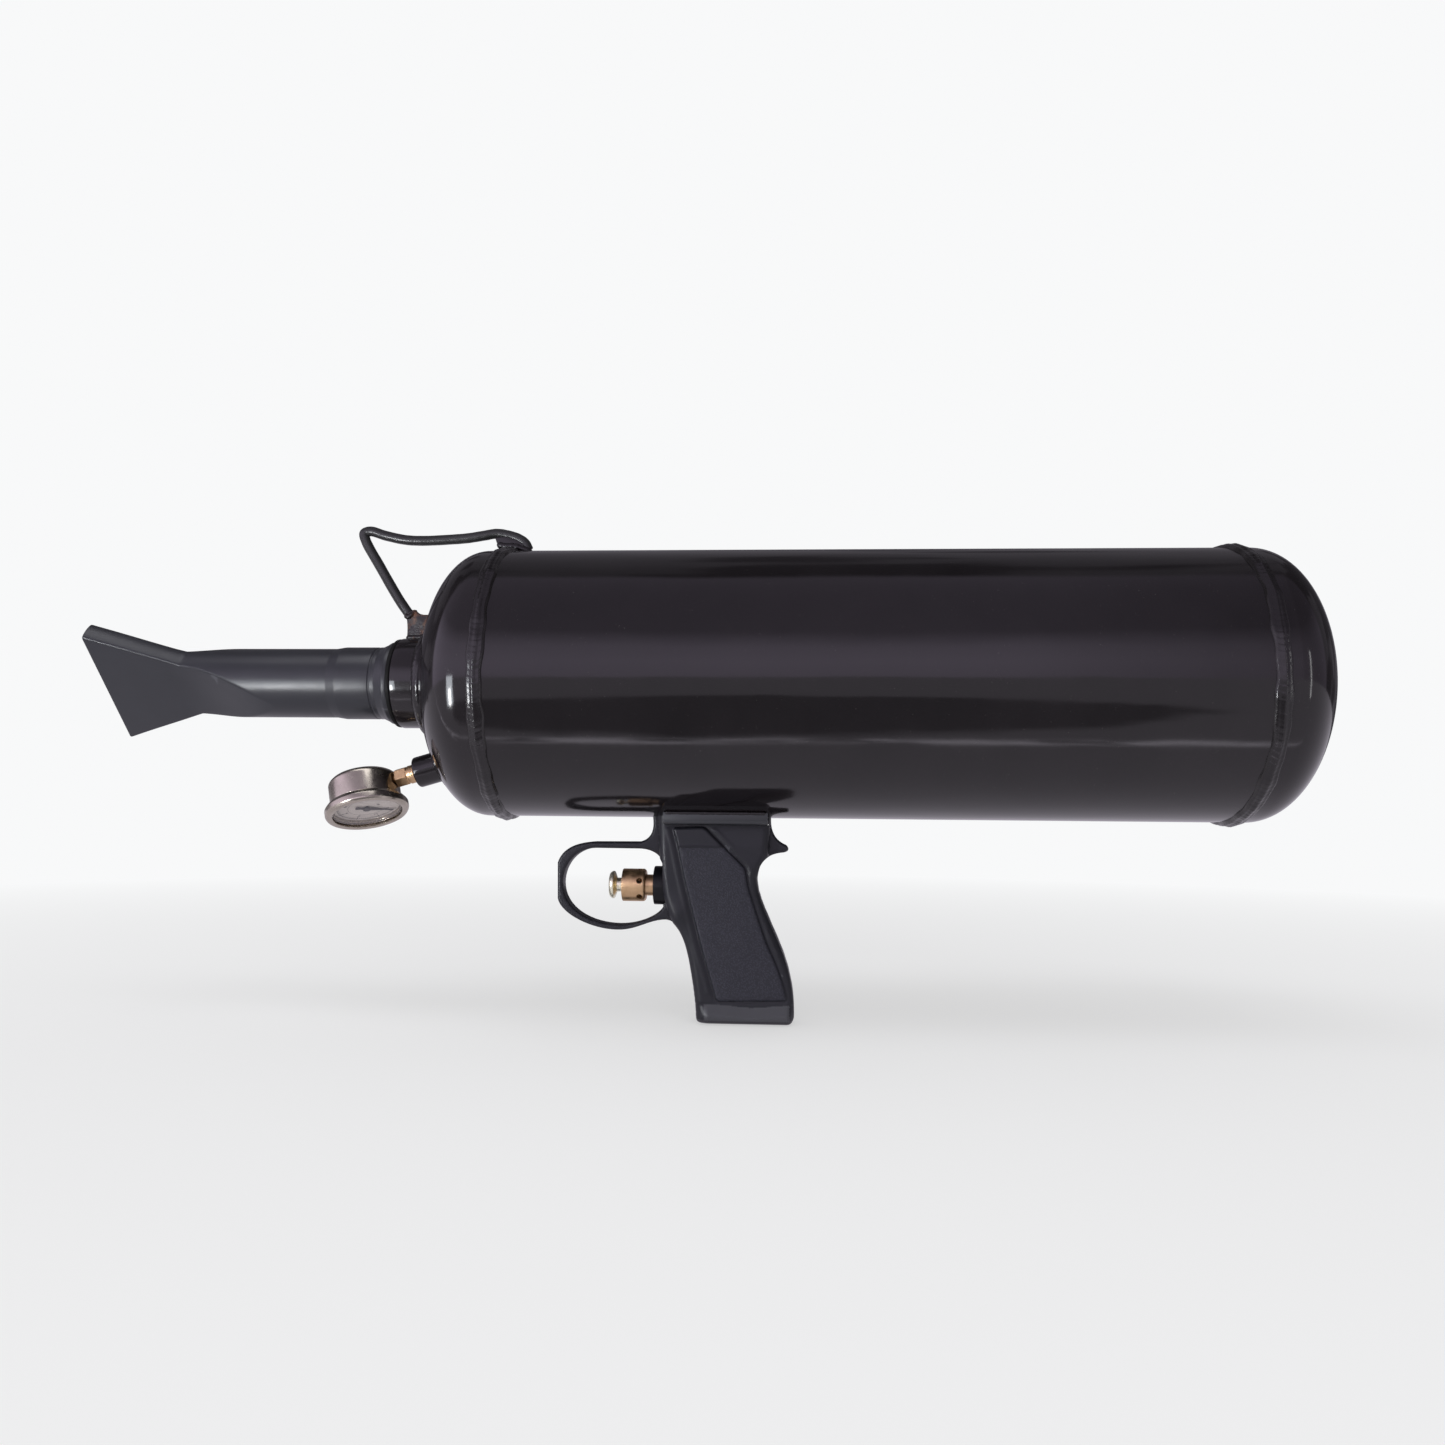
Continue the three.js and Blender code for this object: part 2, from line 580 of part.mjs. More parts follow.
function handleOutline() {
  const s = new THREE.Shape();
  s.moveTo(-113, -79.9);
  s.lineTo(-112, -100);
  s.quadraticCurveTo(-110.5, -124, -104, -134.5);
  s.quadraticCurveTo(-98.4, -140, -95.2, -153.9);
  s.quadraticCurveTo(-91.2, -174, -90.9, -185);
  s.lineTo(-86, GRIP.base);
  s.lineTo(-40.5, GRIP.base);
  s.quadraticCurveTo(-36.9, GRIP.base, -36.9, -183);
  s.quadraticCurveTo(-36.5, -166, -44.3, -147);
  s.bezierCurveTo(-53, -127, -58, -118, -57.6, -109);
  s.lineTo(-51.5, -97);
  s.lineTo(-51, -79.9);
  return s;
}

function gripCavity() {
  const s = new THREE.Shape();
  s.moveTo(-108.6, -84);
  s.lineTo(-108.4, -101);
  s.quadraticCurveTo(-106.5, -124, -100.8, -133.5);
  s.quadraticCurveTo(-94.6, -142, -91.8, -156);
  s.lineTo(-87.6, -184.2);
  s.lineTo(-40.8, -184.2);
  s.quadraticCurveTo(-40.3, -166, -48, -148.5);
  s.bezierCurveTo(-57, -128, -61.5, -118, -61, -106);
  s.lineTo(-54.8, -95);
  s.lineTo(-54.8, -84);
  return plate(s, GRIP.half - GRIP.wall, 0, 3);
}

function screwBoss([x, z], gap) {
  return [-1, 1].map((side) => rod('y', 4.6, side * gap, side * (GRIP.half - 1.5), 14).translate(x, 0, z));
}

function gripWhole() {
  const frame = plate(frameOutline(), GRIP.guardHalf, 0, 5);
  const body = plate(handleOutline(), GRIP.half, 3, 4);
  const topOpening = block(-99, -56.5, -11.5, 11.5, -86, -76);
  const { top, middle, lower } = GRIP_SCREWS;
  const bosses = [...screwBoss(top, 2.4), ...screwBoss(middle, 2.4), ...screwBoss(lower, GRIP.split)];
  const holes = [top, middle, lower].flatMap(([x, z]) => [
    rod('y', 2.2, -12.2, 20, 12).translate(x, 0, z),
    rod('y', 4.3, 11.6, 20, 16).translate(x, 0, z),
  ]);
  const channelPocket = block(CHANNEL.front - FIT, CHANNEL.back + FIT, -30, 30, CHANNEL.bottom - FIT, -60);
  const socketHole = rod('x', TRIGGER.socket + FIT, -118, -100).translate(0, 0, TRIGGER.z);
  const tankClearance = rod('x', TANK.radius + FIT, -130, -30, TANK.sides);
  const hollow = cut(join(frame, body), gripCavity(), topOpening);
  return cut(join(hollow, ...bosses), ...holes, channelPocket, socketHole, tankClearance);
}

function gripScrew(name, [x, z]) {
  const turn = turned('y', [[-11.6, 0], [-11.6, 1.1], [-10.6, 1.9], [11.9, 1.9], [11.9, 3.9],
    [13.2, 3.7], [14.2, 2.6], [14.4, 0]], 12);
  const slot = [block(-2.4, 2.4, 13.1, 16, -0.5, 0.5), block(-0.5, 0.5, 13.1, 16, -2.4, 2.4)];
  return part(name, cut(turn, ...slot).translate(x, 0, z), STEEL);
}

function grip() {
  const whole = gripWhole();
  const near = block(-200, 0, -40, -GRIP.split, -200, -60);
  const far = block(-200, 0, GRIP.split, 40, -200, -60);
  return group(
    part('grip_bracket', gripBracket(), BLACK_STEEL),
    part('grip_near', common(whole, near), SATIN_BLACK),
    part('grip_far', common(whole, far), SATIN_BLACK),
    gripScrew('grip_screw_top', GRIP_SCREWS.top),
    gripScrew('grip_screw_middle', GRIP_SCREWS.middle),
    gripScrew('grip_screw_lower', GRIP_SCREWS.lower),
  );
}

// ---------------------------------------------------------------- trigger pilot valve
function triggerBody() {
  const { bore, body, vent } = TRIGGER;
  const shape = ring('x', [[-133.5, bore], [-133.5, body - 0.6], [-132.9, body], [-121.4, body],
    [-120.4, body - 0.9], [-120.4, 5.9], [-107, 5.9], [-107, bore], [-118.6, bore], [-118.6, 2.3],
    [-121, 2.3], [-121, bore]]);
  const vents = [0, 1, 2].map((i) => rod('z', vent, -12, 12, 12).translate(-123.4, 0, 0)
    .rotateX(THREE.MathUtils.degToRad(72 + 60 * i)));
  return cut(shape, ...vents);
}

function triggerButton() {
  return turned('x', [[-141.2, 0], [-141.2, 4.5], [-140.6, 6.6], [-139.4, 7.7], [-138.3, 7.7],
    [-137.4, 5.4], [-136.9, 3.9], [-130.5, 3.9], [-130.5, 1.5], [-117.2, 1.5], [-117.2, 2.1],
    [-115.8, 2.1], [-115.8, 0]]);
}

function pilotBoss() {
  return ring('z', [[-61, 3.3], [-61, 5.6], [-70, 5.6], [-70, 8], [-79.3, 8], [-79.3, 3.2],
    [-82, 3.2], [-82, 3.7], [-84, 3.2], [-93, 3.2], [-93, 2], [-68, 2], [-68, 3.3]]);
}

function trigger() {
  const r = TRIGGER.socket;
  const socket = ring('x', [[-115.6, 6.2], [-115.6, r - 0.55], [-115, r], [-104.6, r],
    [-104.6, 3.2], [-102, 3.2], [-102, 3.7], [-100, 3.2], [-95, 3.2], [-95, 2], [-106, 2],
    [-106, 6.2]]);
  const valve = group(
    part('trigger_body', triggerBody(), BRASS),
    part('trigger_button', triggerButton(), BRASS),
    part('trigger_seal', sleeve('x', 1.6, 3.5, -118.5, -117.3), RUBBER),
    part('trigger_spring', coil('x', 2.7, 0.45, -130.4, -121.1, 5), STEEL),
    part('trigger_socket', socket, SATIN_BLACK),
  );
  valve.position.z = TRIGGER.z;
  const hosePath = middlePlaneCurve([[-103.6, TRIGGER.z], [-98, TRIGGER.z], [-91.5, -111.5],
    [PILOT.x, -104.5], [PILOT.x, -94], [PILOT.x, -80.6]]);
  return group(
    valve,
    part('pilot_boss', pilotBoss().translate(PILOT.x, 0, 0), BLACK_STEEL),
    part('pilot_hose', swept(hosePath, 5.2, 12, 9, 4.1), RUBBER),
  );
}

// ---------------------------------------------------------------- fill valve and quick plug
function ballValveBody() {
  const y = FILL.ball;
  const shape = ring('y', [[77, FILL.bore], [77, 8], [84.6, 8], [84.6, 12.2], [86, 13.2],
    [110, 13.2], [111, 12.4], [111, 9.3], [87.5, 9.3], [87.5, FILL.bore]]);
  const tower = rod('z', 6, 9.6, 19.4, 16).translate(0, y, 0);
  const stemHole = rod('z', 3.3, 5, 25, 16).translate(0, y, 0);
  return cut(join(shape, cut(tower, rod('y', 9.3, 80, 120))), stemHole);
}

function ballSeat(from, to) {
  const ball = new THREE.SphereGeometry(FILL.ballRadius + 0.25, 16, 10).translate(0, FILL.ball, 0);
  return cut(sleeve('y', FILL.bore, 9.1, from, to), ball);
}

function ball() {
  const sphere = new THREE.SphereGeometry(FILL.ballRadius, 16, 10);
  const bore = rod('x', FILL.bore, -12, 12);
  const slot = block(-12, 12, -1.5, 1.5, 6, 10);
  return cut(sphere, bore, slot).translate(0, FILL.ball, 0);
}

function ballStem() {
  const stem = rod('z', 3, 8.6, 27, 16);
  return join(stem, block(-2.6, 2.6, -1.2, 1.2, 6.4, 8.8)).translate(0, FILL.ball, 0);
}

function leverGeometry() {
  const side = new THREE.Shape();
  [[-8, 19.8], [15, 19.8], [23, 25.8], [64, 25.8], [64, 28.2], [22.2, 28.2], [14.2, 22.2],
    [-8, 22.2]].forEach(([x, z], i) => (i ? side.lineTo(x, z) : side.moveTo(x, z)));
  return cut(plate(side, 6), rod('z', 3.3, 10, 30, 16)).translate(0, FILL.ball, 0);
}

function leverSleeve() {
  const outline = new THREE.Shape();
  [[26, 24.2], [64, 24.2], [66.5, 25.4], [66.5, 28.6], [64, 29.8], [26, 29.8]]
    .forEach(([x, z], i) => (i ? outline.lineTo(x, z) : outline.moveTo(x, z)));
  const slot = block(20, 64.4, -6.3, 6.3, 25.5, 28.5);
  return cut(plate(outline, 8, 1.2), slot).translate(0, FILL.ball, 0);
}

function fillPlug() {
  return ring('y', [[112.6, 2.8], [112.6, 6.4], [117.4, 6.4], [117.4, 8.6], [123, 8.6], [123, 6],
    [127, 6], [130, 7.4], [133, 7.4], [136, 5.2], [140, 5.2], [142, 6], [145, 6], [146, 5], [146, 2.8]]);
}

function fillValve() {
  const boss = sleeve('y', 8.4, 13, 72.5, 84);
  const nut = cut(rod('z', 5.6, 22.5, 25.7, 6), rod('z', 3.3, 20, 28));
  const end = ring('y', [[108.6, FILL.bore], [108.6, 9], [111.4, 9], [111.4, 12.4], [117, 12.4],
    [117, 6.8], [112, 6.8], [112, FILL.bore]]);
  const assembly = group(
    part('fill_boss', boss, BLACK_GLOSS),
    part('fill_valve_body', ballValveBody(), BRASS),
    part('fill_valve_inner_seat', ballSeat(87.8, 92.6), PTFE),
    part('fill_valve_outer_seat', ballSeat(103.4, 108.3), PTFE),
    part('fill_valve_ball', ball(), CHROME),
    part('fill_valve_stem', ballStem(), BRASS),
    part('fill_valve_lever', leverGeometry(), STEEL),
    part('fill_valve_lever_sleeve', leverSleeve(), RED_VINYL),
    part('fill_valve_nut', nut.translate(0, FILL.ball, 0), STEEL),
    part('fill_valve_end', end, BRASS),
    part('fill_plug', fillPlug(), STEEL),
  );
  assembly.position.x = FILL.x;
  return assembly;
}

// ---------------------------------------------------------------- safety relief valve
function reliefBody() {
  const shape = ring('y', [[77, 2.4], [77, 6], [82.4, 6], [82.4, 8.8], [88, 8.8], [88, 7], [102, 7],
    [102, 5], [84.6, 5], [83.8, 2.4]]);
  const vents = rod('z', 1.3, -12, 12, 10).translate(0, 91, 0);
  return cut(shape, vents);
}

function reliefStem() {
  const stem = turned('y', [[84.8, 0], [84.8, 4.5], [86.4, 4.5], [86.4, 1.2], [107, 1.2], [107, 2.6],
    [111, 2.6], [111, 0]], 16);
  return cut(stem, rod('z', 1.4, -6, 6, 10).translate(0, 109, 0));
}

function reliefValve() {
  const pullRing = new THREE.TorusGeometry(9, 0.9, 6, 18).rotateY(Math.PI / 2).translate(0, 118, 0);
  const assembly = group(
    part('relief_boss', sleeve('y', 6.3, 10, 72.5, 82), BLACK_GLOSS),
    part('relief_body', reliefBody(), BRASS),
    part('relief_stem', reliefStem(), STEEL),
    part('relief_spring', coil('y', 3.2, 0.5, 86.5, 98.9, 6), STEEL),
    part('relief_cap', sleeve('y', 1.5, 4.7, 99, 103), BRASS),
    part('relief_ring', pullRing, STEEL),
  );
  assembly.position.x = RELIEF.x;
  return assembly;
}

const object = group(
  tank(),
  outlet(),
  releaseValve(),
  barrel(),
  handle(),
  gauge(),
  grip(),
  trigger(),
  fillValve(),
  reliefValve(),
);
object.position.set(-GRIP.baseMiddle, 0, -GRIP.base);

export default object;
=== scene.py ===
"""Bead seater blaster tank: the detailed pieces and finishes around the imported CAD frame."""
import json
import math

import bmesh
import bpy
import numpy as np
from mathutils import Matrix, Vector
from mathutils.geometry import delaunay_2d_cdt

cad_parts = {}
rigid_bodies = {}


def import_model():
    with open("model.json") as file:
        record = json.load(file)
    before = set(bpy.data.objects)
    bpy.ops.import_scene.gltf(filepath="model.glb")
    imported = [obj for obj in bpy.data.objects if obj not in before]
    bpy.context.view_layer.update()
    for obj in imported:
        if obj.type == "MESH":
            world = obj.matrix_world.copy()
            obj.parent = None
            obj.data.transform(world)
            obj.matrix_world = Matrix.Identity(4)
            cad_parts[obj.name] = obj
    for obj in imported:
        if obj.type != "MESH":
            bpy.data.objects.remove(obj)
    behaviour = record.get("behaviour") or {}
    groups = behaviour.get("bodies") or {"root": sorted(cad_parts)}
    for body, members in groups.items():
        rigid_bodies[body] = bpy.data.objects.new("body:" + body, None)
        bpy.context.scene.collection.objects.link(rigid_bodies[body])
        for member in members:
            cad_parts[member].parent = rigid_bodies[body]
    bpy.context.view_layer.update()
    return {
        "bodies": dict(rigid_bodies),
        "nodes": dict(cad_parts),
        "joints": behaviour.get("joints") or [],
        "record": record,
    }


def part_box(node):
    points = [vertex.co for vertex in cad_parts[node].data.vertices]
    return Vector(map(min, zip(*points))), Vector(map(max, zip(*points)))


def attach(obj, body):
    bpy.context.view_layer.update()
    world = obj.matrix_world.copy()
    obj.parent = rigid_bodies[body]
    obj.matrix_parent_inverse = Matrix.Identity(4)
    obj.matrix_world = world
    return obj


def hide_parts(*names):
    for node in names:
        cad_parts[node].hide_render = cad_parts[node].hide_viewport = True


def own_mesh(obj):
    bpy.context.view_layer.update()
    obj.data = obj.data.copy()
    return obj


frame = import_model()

MM = 0.001
TAU = 2 * math.pi

# Every place below is measured from the tank's centre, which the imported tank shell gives.
shell_low, shell_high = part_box("tank_shell")
CENTRE = np.array((shell_low + shell_high) / 2)

# ---------------------------------------------------------------- driving dimensions, millimetres
TANK_RADIUS, TANK_WALL = 76.0, 2.0
SEAM_X, SKIRT, DOME_DEPTH, DOME_SQUARENESS = 200.6, 8.5, 37.5, 2.1
NECK_RADIUS, NECK_FRONT, NECK_BACK = 26.0, -263.4, -236.0
FAN_START, FAN_FLARE, FAN_MOUTH, FAN_SKEW, FAN_TURN = -332.4, -388.8, -440.0, 0.06, 48.5
TUBE_RADIUS, TUBE_WALL = 20.0, 3.0
GAUGE_AT, GAUGE_DIP, GAUGE_LEAN = (-285.0, 0.0, -60.9), 16.5, 18.0
GAUGE_RADIUS, BEZEL_RADIUS, GAUGE_FRONT = 19.6, 23.1, -16.9
TRIGGER_Z = -114.2
CHANNEL_FRONT, CHANNEL_BACK, CHANNEL_HALF, CHANNEL_BOTTOM = -109.1, -51.7, 22.5, -79.6
GRIP_BASE, GRIP_SPLIT = -188.4, 0.1
GRIP_SCREWS = {"top": (-73, -95), "middle": (-73, -130), "lower": (-62, -172)}
FILL_X, BALL_Y, RELIEF_X = 95.0, 98.0, 35.0
PILOT_X = -88.0
SKIN_STEP, GRAIN_DEPTH = 0.9, 0.03
FOOT_DEPTH, FOOT_FRONT, FOOT_BACK, FOOT_LOW = 2.2, -86.0, -39.5, GRIP_BASE + 2.2


# ---------------------------------------------------------------- outlines
class Pen:
    """Draws an outline from lines and Bezier curves."""

    def __init__(self, x, z):
        self.points = [(x, z)]

    def line(self, x, z):
        self.points.append((x, z))
        return self

    def quad(self, cx, cz, x, z, steps=8):
        p0, p1, p2 = np.array(self.points[-1]), np.array((cx, cz)), np.array((x, z))
        for t in np.linspace(0, 1, steps + 1)[1:]:
            self.points.append(tuple((1 - t) ** 2 * p0 + 2 * t * (1 - t) * p1 + t * t * p2))
        return self

    def cubic(self, ax, az, bx, bz, x, z, steps=14):
        p0, p1, p2, p3 = (np.array(p) for p in (self.points[-1], (ax, az), (bx, bz), (x, z)))
        for t in np.linspace(0, 1, steps + 1)[1:]:
            s = 1 - t
            self.points.append(tuple(s**3 * p0 + 3 * s * s * t * p1 + 3 * s * t * t * p2 + t**3 * p3))
        return self

    def array(self):
        return np.array(self.points, float)


def softened(points, radius, closed=True, steps=4):
    """The outline with each corner rounded; straight runs keep their points."""
    points = [np.array(p, float) for p in points]
    count = len(points)
    result = []
    for i, corner in enumerate(points):
        if not closed and i in (0, count - 1):
            result.append(corner)
            continue
        before, after = points[i - 1], points[(i + 1) % count]
        to_before, to_after = before - corner, after - corner
        reach = min(radius, 0.45 * np.linalg.norm(to_before), 0.45 * np.linalg.norm(to_after))
        turn = abs(to_before[0] * to_after[1] - to_before[1] * to_after[0])
        if reach < 0.02 or turn < 1e-6:
            result.append(corner)
            continue
        start = corner + to_before / np.linalg.norm(to_before) * reach
        end = corner + to_after / np.linalg.norm(to_after) * reach
        for t in np.linspace(0, 1, steps + 1):
            result.append((1 - t) ** 2 * start + 2 * t * (1 - t) * corner + t * t * end)
    return result


def smooth_path(points, per_span=8):
    """A centripetal Catmull-Rom curve through 3-D points."""
    pts = np.array(points, float)
    pts = np.vstack([2 * pts[0] - pts[1], pts, 2 * pts[-1] - pts[-2]])
    result = []
    for i in range(1, len(pts) - 2):
        p0, p1, p2, p3 = pts[i - 1], pts[i], pts[i + 1], pts[i + 2]
        t0 = 0.0
        t1 = t0 + np.linalg.norm(p1 - p0) ** 0.5
        t2 = t1 + np.linalg.norm(p2 - p1) ** 0.5
        t3 = t2 + np.linalg.norm(p3 - p2) ** 0.5
        for t in np.linspace(t1, t2, per_span, endpoint=False):
            a1 = (t1 - t) / (t1 - t0) * p0 + (t - t0) / (t1 - t0) * p1
            a2 = (t2 - t) / (t2 - t1) * p1 + (t - t1) / (t2 - t1) * p2
            a3 = (t3 - t) / (t3 - t2) * p2 + (t - t2) / (t3 - t2) * p3
            b1 = (t2 - t) / (t2 - t0) * a1 + (t - t0) / (t2 - t0) * a2
            b2 = (t3 - t) / (t3 - t1) * a2 + (t - t1) / (t3 - t1) * a3
            result.append((t2 - t) / (t2 - t1) * b1 + (t - t1) / (t2 - t1) * b2)
    result.append(pts[-2])
    return np.array(result)


# ---------------------------------------------------------------- mesh builders
def solid_mesh(name, vertices, faces, place=None):
    """A mesh in metres from points measured from the tank's centre in millimetres."""
    points = np.asarray(vertices, float)
    if place is not None:
        points = points @ np.array(place.to_3x3()).T + np.array(place.translation)
    mesh = bpy.data.meshes.new(name)
    mesh.from_pydata((points * MM + CENTRE).tolist(), [], [list(face) for face in faces])
    work = bmesh.new()
    work.from_mesh(mesh)
    bmesh.ops.remove_doubles(work, verts=work.verts, dist=1e-6)
    bmesh.ops.dissolve_degenerate(work, edges=work.edges, dist=1e-7)
    bmesh.ops.recalc_face_normals(work, faces=work.faces)
    work.to_mesh(mesh)
    work.free()
    return mesh


def piece(name, shape, material, body="frame", sharp=32.0, place=None):
    """A piece that stands for the CAD node of the same name and rides on its body."""
    mesh = solid_mesh(name, *shape, place)
    mesh.materials.append(material)
    obj = bpy.data.objects.new(name + "_detail", mesh)
    bpy.context.collection.objects.link(obj)
    smooth(obj, sharp)
    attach(obj, body)
    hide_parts(name)
    return obj


def added(obj, shape, material=None, place=None, sharp=32.0):
    """Adds one more closed shape to a piece, with its own finish if one is given."""
    mesh = solid_mesh("extra", *shape, place)
    if material is not None and material.name not in [m.name for m in obj.data.materials]:
        obj.data.materials.append(material)
    index = obj.data.materials.find(material.name) if material is not None else 0
    mesh.polygons.foreach_set("material_index", [index] * len(mesh.polygons))
    work = bmesh.new()
    work.from_mesh(obj.data)
    work.from_mesh(mesh)
    work.to_mesh(obj.data)
    work.free()
    bpy.data.meshes.remove(mesh)
    smooth(obj, sharp)
    return obj


def smooth(obj, sharp):
    obj.data.shade_smooth()
    obj.data.set_sharp_from_angle(angle=math.radians(sharp))


def permuted(axis, along, u, v):
    """Coordinates with `along` on the named axis, keeping a right-handed order."""
    order = {"x": (along, u, v), "y": (v, along, u), "z": (u, v, along)}
    return np.stack([np.broadcast_to(c, np.shape(u)) for c in order[axis]], axis=-1)


def hexagon(angles, across_flats):
    """Distance from the centre to a hexagon's side at each angle."""
    sector = TAU / 6
    return across_flats / 2 / np.cos((angles + sector / 2) % sector - sector / 2)


def revolved(axis, profile, sides=96, soften=0.4, hex_part=None, steps=3):
    """Vertices and faces turned round an axis from [along, radius] points.
    hex_part is (from, to, across flats): between those places the outside is six-sided."""
    on_axis = profile[0][1] < 1e-6 and profile[-1][1] < 1e-6
    points = softened(profile, soften, closed=not on_axis, steps=steps)
    if hex_part:
        points = subdivided(points, hex_part, closed=not on_axis)
    angles = np.linspace(0, TAU, sides, endpoint=False)
    vertices, rings = [], []
    for along, radius in points:
        if radius < 1e-6:
            rings.append([len(vertices)])
            vertices.append(permuted(axis, along, np.array(0.0), np.array(0.0)))
            continue
        spread = np.full(sides, radius)
        if hex_part and hex_part[0] - 1e-6 <= along <= hex_part[1] + 1e-6 and radius > hex_part[2] * 0.42:
            spread = np.minimum(spread, hexagon(angles, hex_part[2]))
        rings.append(list(range(len(vertices), len(vertices) + sides)))
        vertices.extend(permuted(axis, along, spread * np.cos(angles), spread * np.sin(angles)))
    return np.array(vertices), ring_faces(rings, closed=not on_axis)


def subdivided(points, hex_part, closed):
    """More rings where the hexagon's chamfers curve."""
    result = []
    count = len(points)
    for i, here in enumerate(points):
        result.append(here)
        if i == count - 1 and not closed:
            break
        after = points[(i + 1) % count]
        slanted = abs(after[0] - here[0]) > 0.05 and abs(after[1] - here[1]) > 0.05
        inside = hex_part[0] - 0.1 < (here[0] + after[0]) / 2 < hex_part[1] + 0.1
        if slanted and inside and here[1] > hex_part[2] * 0.42:
            result.extend(here + (after - here) * t for t in (0.25, 0.5, 0.75))
    return result


def ring_faces(rings, closed):
    faces = []
    pairs = list(zip(rings, rings[1:] + (rings[:1] if closed else [])))
    for low, high in pairs[: len(rings) if closed else len(rings) - 1]:
        n = max(len(low), len(high))
        for j in range(n):
            k = (j + 1) % n
            if len(low) == 1 and len(high) == 1:
                continue
            if len(low) == 1:
                faces.append((low[0], high[k], high[j]))
            elif len(high) == 1:
                faces.append((low[j], low[k], high[0]))
            else:
                faces.append((low[j], low[k], high[k], high[j]))
    return faces


def turned(name, axis, profile, material, body="frame", place=None, sharp=32.0, **options):
    return piece(name, revolved(axis, profile, **options), material, body, sharp, place)


def swept(points, radius, sides=24, hollow=0.0, flatten=1.0):
    """A bar, or a tube when hollow, along a path; radius may be a list, one for each point."""
    path = np.array(points, float)
    count = len(path)
    radii = np.broadcast_to(radius, (count,))
    tangents = np.gradient(path, axis=0)
    tangents /= np.linalg.norm(tangents, axis=1)[:, None]
    start = np.array((0.0, 1.0, 0.0)) if abs(tangents[0][1]) < 0.9 else np.array((1.0, 0.0, 0.0))
    side = np.cross(tangents[0], start)
    side /= np.linalg.norm(side)
    angles = np.linspace(0, TAU, sides, endpoint=False)

    def skin(scale):
        nonlocal side
        result = []
        current = side.copy()
        for i in range(count):
            current = current - tangents[i] * np.dot(current, tangents[i])
            current /= np.linalg.norm(current)
            other = np.cross(tangents[i], current)
            r = radii[i] - scale
            ring = path[i] + r * (
                np.outer(np.cos(angles) * flatten, current) + np.outer(np.sin(angles), other))
            result.append(ring)
        return result

    outer = skin(0.0)
    if hollow:
        rings = outer + skin(float(radii[0]) - hollow)[::-1]
        closed = True
    else:
        rings = [path[:1]] + outer + [path[-1:]]
        closed = False
    vertices, index = [], []
    for ring in rings:
        index.append(list(range(len(vertices), len(vertices) + len(ring))))
        vertices.extend(ring)
    return np.array(vertices), ring_faces(index, closed)


def extruded(outline, low, high, axis="y"):
    """A prism: an (a, b) outline carried from low to high along an axis."""
    outline = np.array(outline, float)
    n = len(outline)
    layers = []
    for level in (low, high):
        a, b = outline[:, 0], outline[:, 1]
        c = np.full(n, level)
        layers.append(np.stack({"x": (c, a, b), "y": (a, c, b), "z": (a, b, c)}[axis], axis=-1))
    faces = [tuple(range(n)), tuple(range(2 * n - 1, n - 1, -1))]
    faces += [(i, (i + 1) % n, n + (i + 1) % n, n + i) for i in range(n)]
    return np.vstack(layers), faces


def bevelled(obj, width, segments=3, angle=30.0):
    bevel = obj.modifiers.new("edge_round", "BEVEL")
    bevel.width = width * MM
    bevel.segments = segments
    bevel.limit_method = "ANGLE"
    bevel.angle_limit = math.radians(angle)
    bevel.use_clamp_overlap = True
    applied(obj)
    return obj


def applied(obj):
    """Bakes the object's modifiers into its mesh."""
    graph = bpy.context.evaluated_depsgraph_get()
    baked = bpy.data.meshes.new_from_object(obj.evaluated_get(graph), depsgraph=graph)
    obj.modifiers.clear()
    obj.data = baked


def cut_by(obj, *shapes, operation="DIFFERENCE", place=None, sharp=32.0):
    """Cuts shapes out of a piece, or joins them to it."""
    for shape in shapes:
        cutter = bpy.data.objects.new("cutter", solid_mesh("cutter", *shape, place))
        bpy.context.collection.objects.link(cutter)
        boolean = obj.modifiers.new("cut", "BOOLEAN")
        boolean.operation = operation
        boolean.solver = "EXACT"
        boolean.object = cutter
        bpy.context.view_layer.update()
        applied(obj)
        bpy.data.objects.remove(cutter, do_unlink=True)
    smooth(obj, sharp)
    return obj


def moved(shape, x=0.0, y=0.0, z=0.0):
    vertices, faces = shape
    return np.asarray(vertices) + np.array((x, y, z), float), faces


def spun(shape, axis, degrees):
    vertices, faces = shape
    turn = np.array(Matrix.Rotation(math.radians(degrees), 3, axis.upper()))
    return np.asarray(vertices) @ turn.T, faces


def box_shape(x0, x1, y0, y1, z0, z1):
    return extruded([(x0, y0), (x1, y0), (x1, y1), (x0, y1)], z0, z1, "z")


def sleeve(inner, outer, low, high):
    return [(low, inner), (low, outer), (high, outer), (high, inner)]


def rod(axis, radius, low, high, centre=(0, 0, 0), sides=48):
    profile = [(low, 0), (low, radius), (high, radius), (high, 0)]
    vertices, faces = revolved(axis, profile, sides=sides, soften=0)
    return vertices + np.array(centre, float), faces


def weld_run(path, radius, pitch=2.6, lump=0.10, sides=14):
    """A rippled weld bead along a path, its crests leaning back like laid scales."""
    path = np.array(path, float)
    lengths = np.concatenate([[0], np.cumsum(np.linalg.norm(np.diff(path, axis=0), axis=1))])
    steps = max(8, int(lengths[-1] / 0.45))
    at = np.linspace(0, lengths[-1], steps)
    fine = np.stack([np.interp(at, lengths, path[:, k]) for k in range(3)], axis=1)
    phase = (at / pitch + 0.25 * np.sin(at * 0.37)) % 1
    radii = radius * (1 - lump * phase**1.6 + 0.07 * np.sin(at * 0.61 + 1.0) + 0.04 * np.sin(at * 1.7))
    ends = np.minimum(1, np.minimum(at, lengths[-1] - at) / (radius * 1.2) + 0.35)
    return swept(fine, radii * ends, sides=sides)


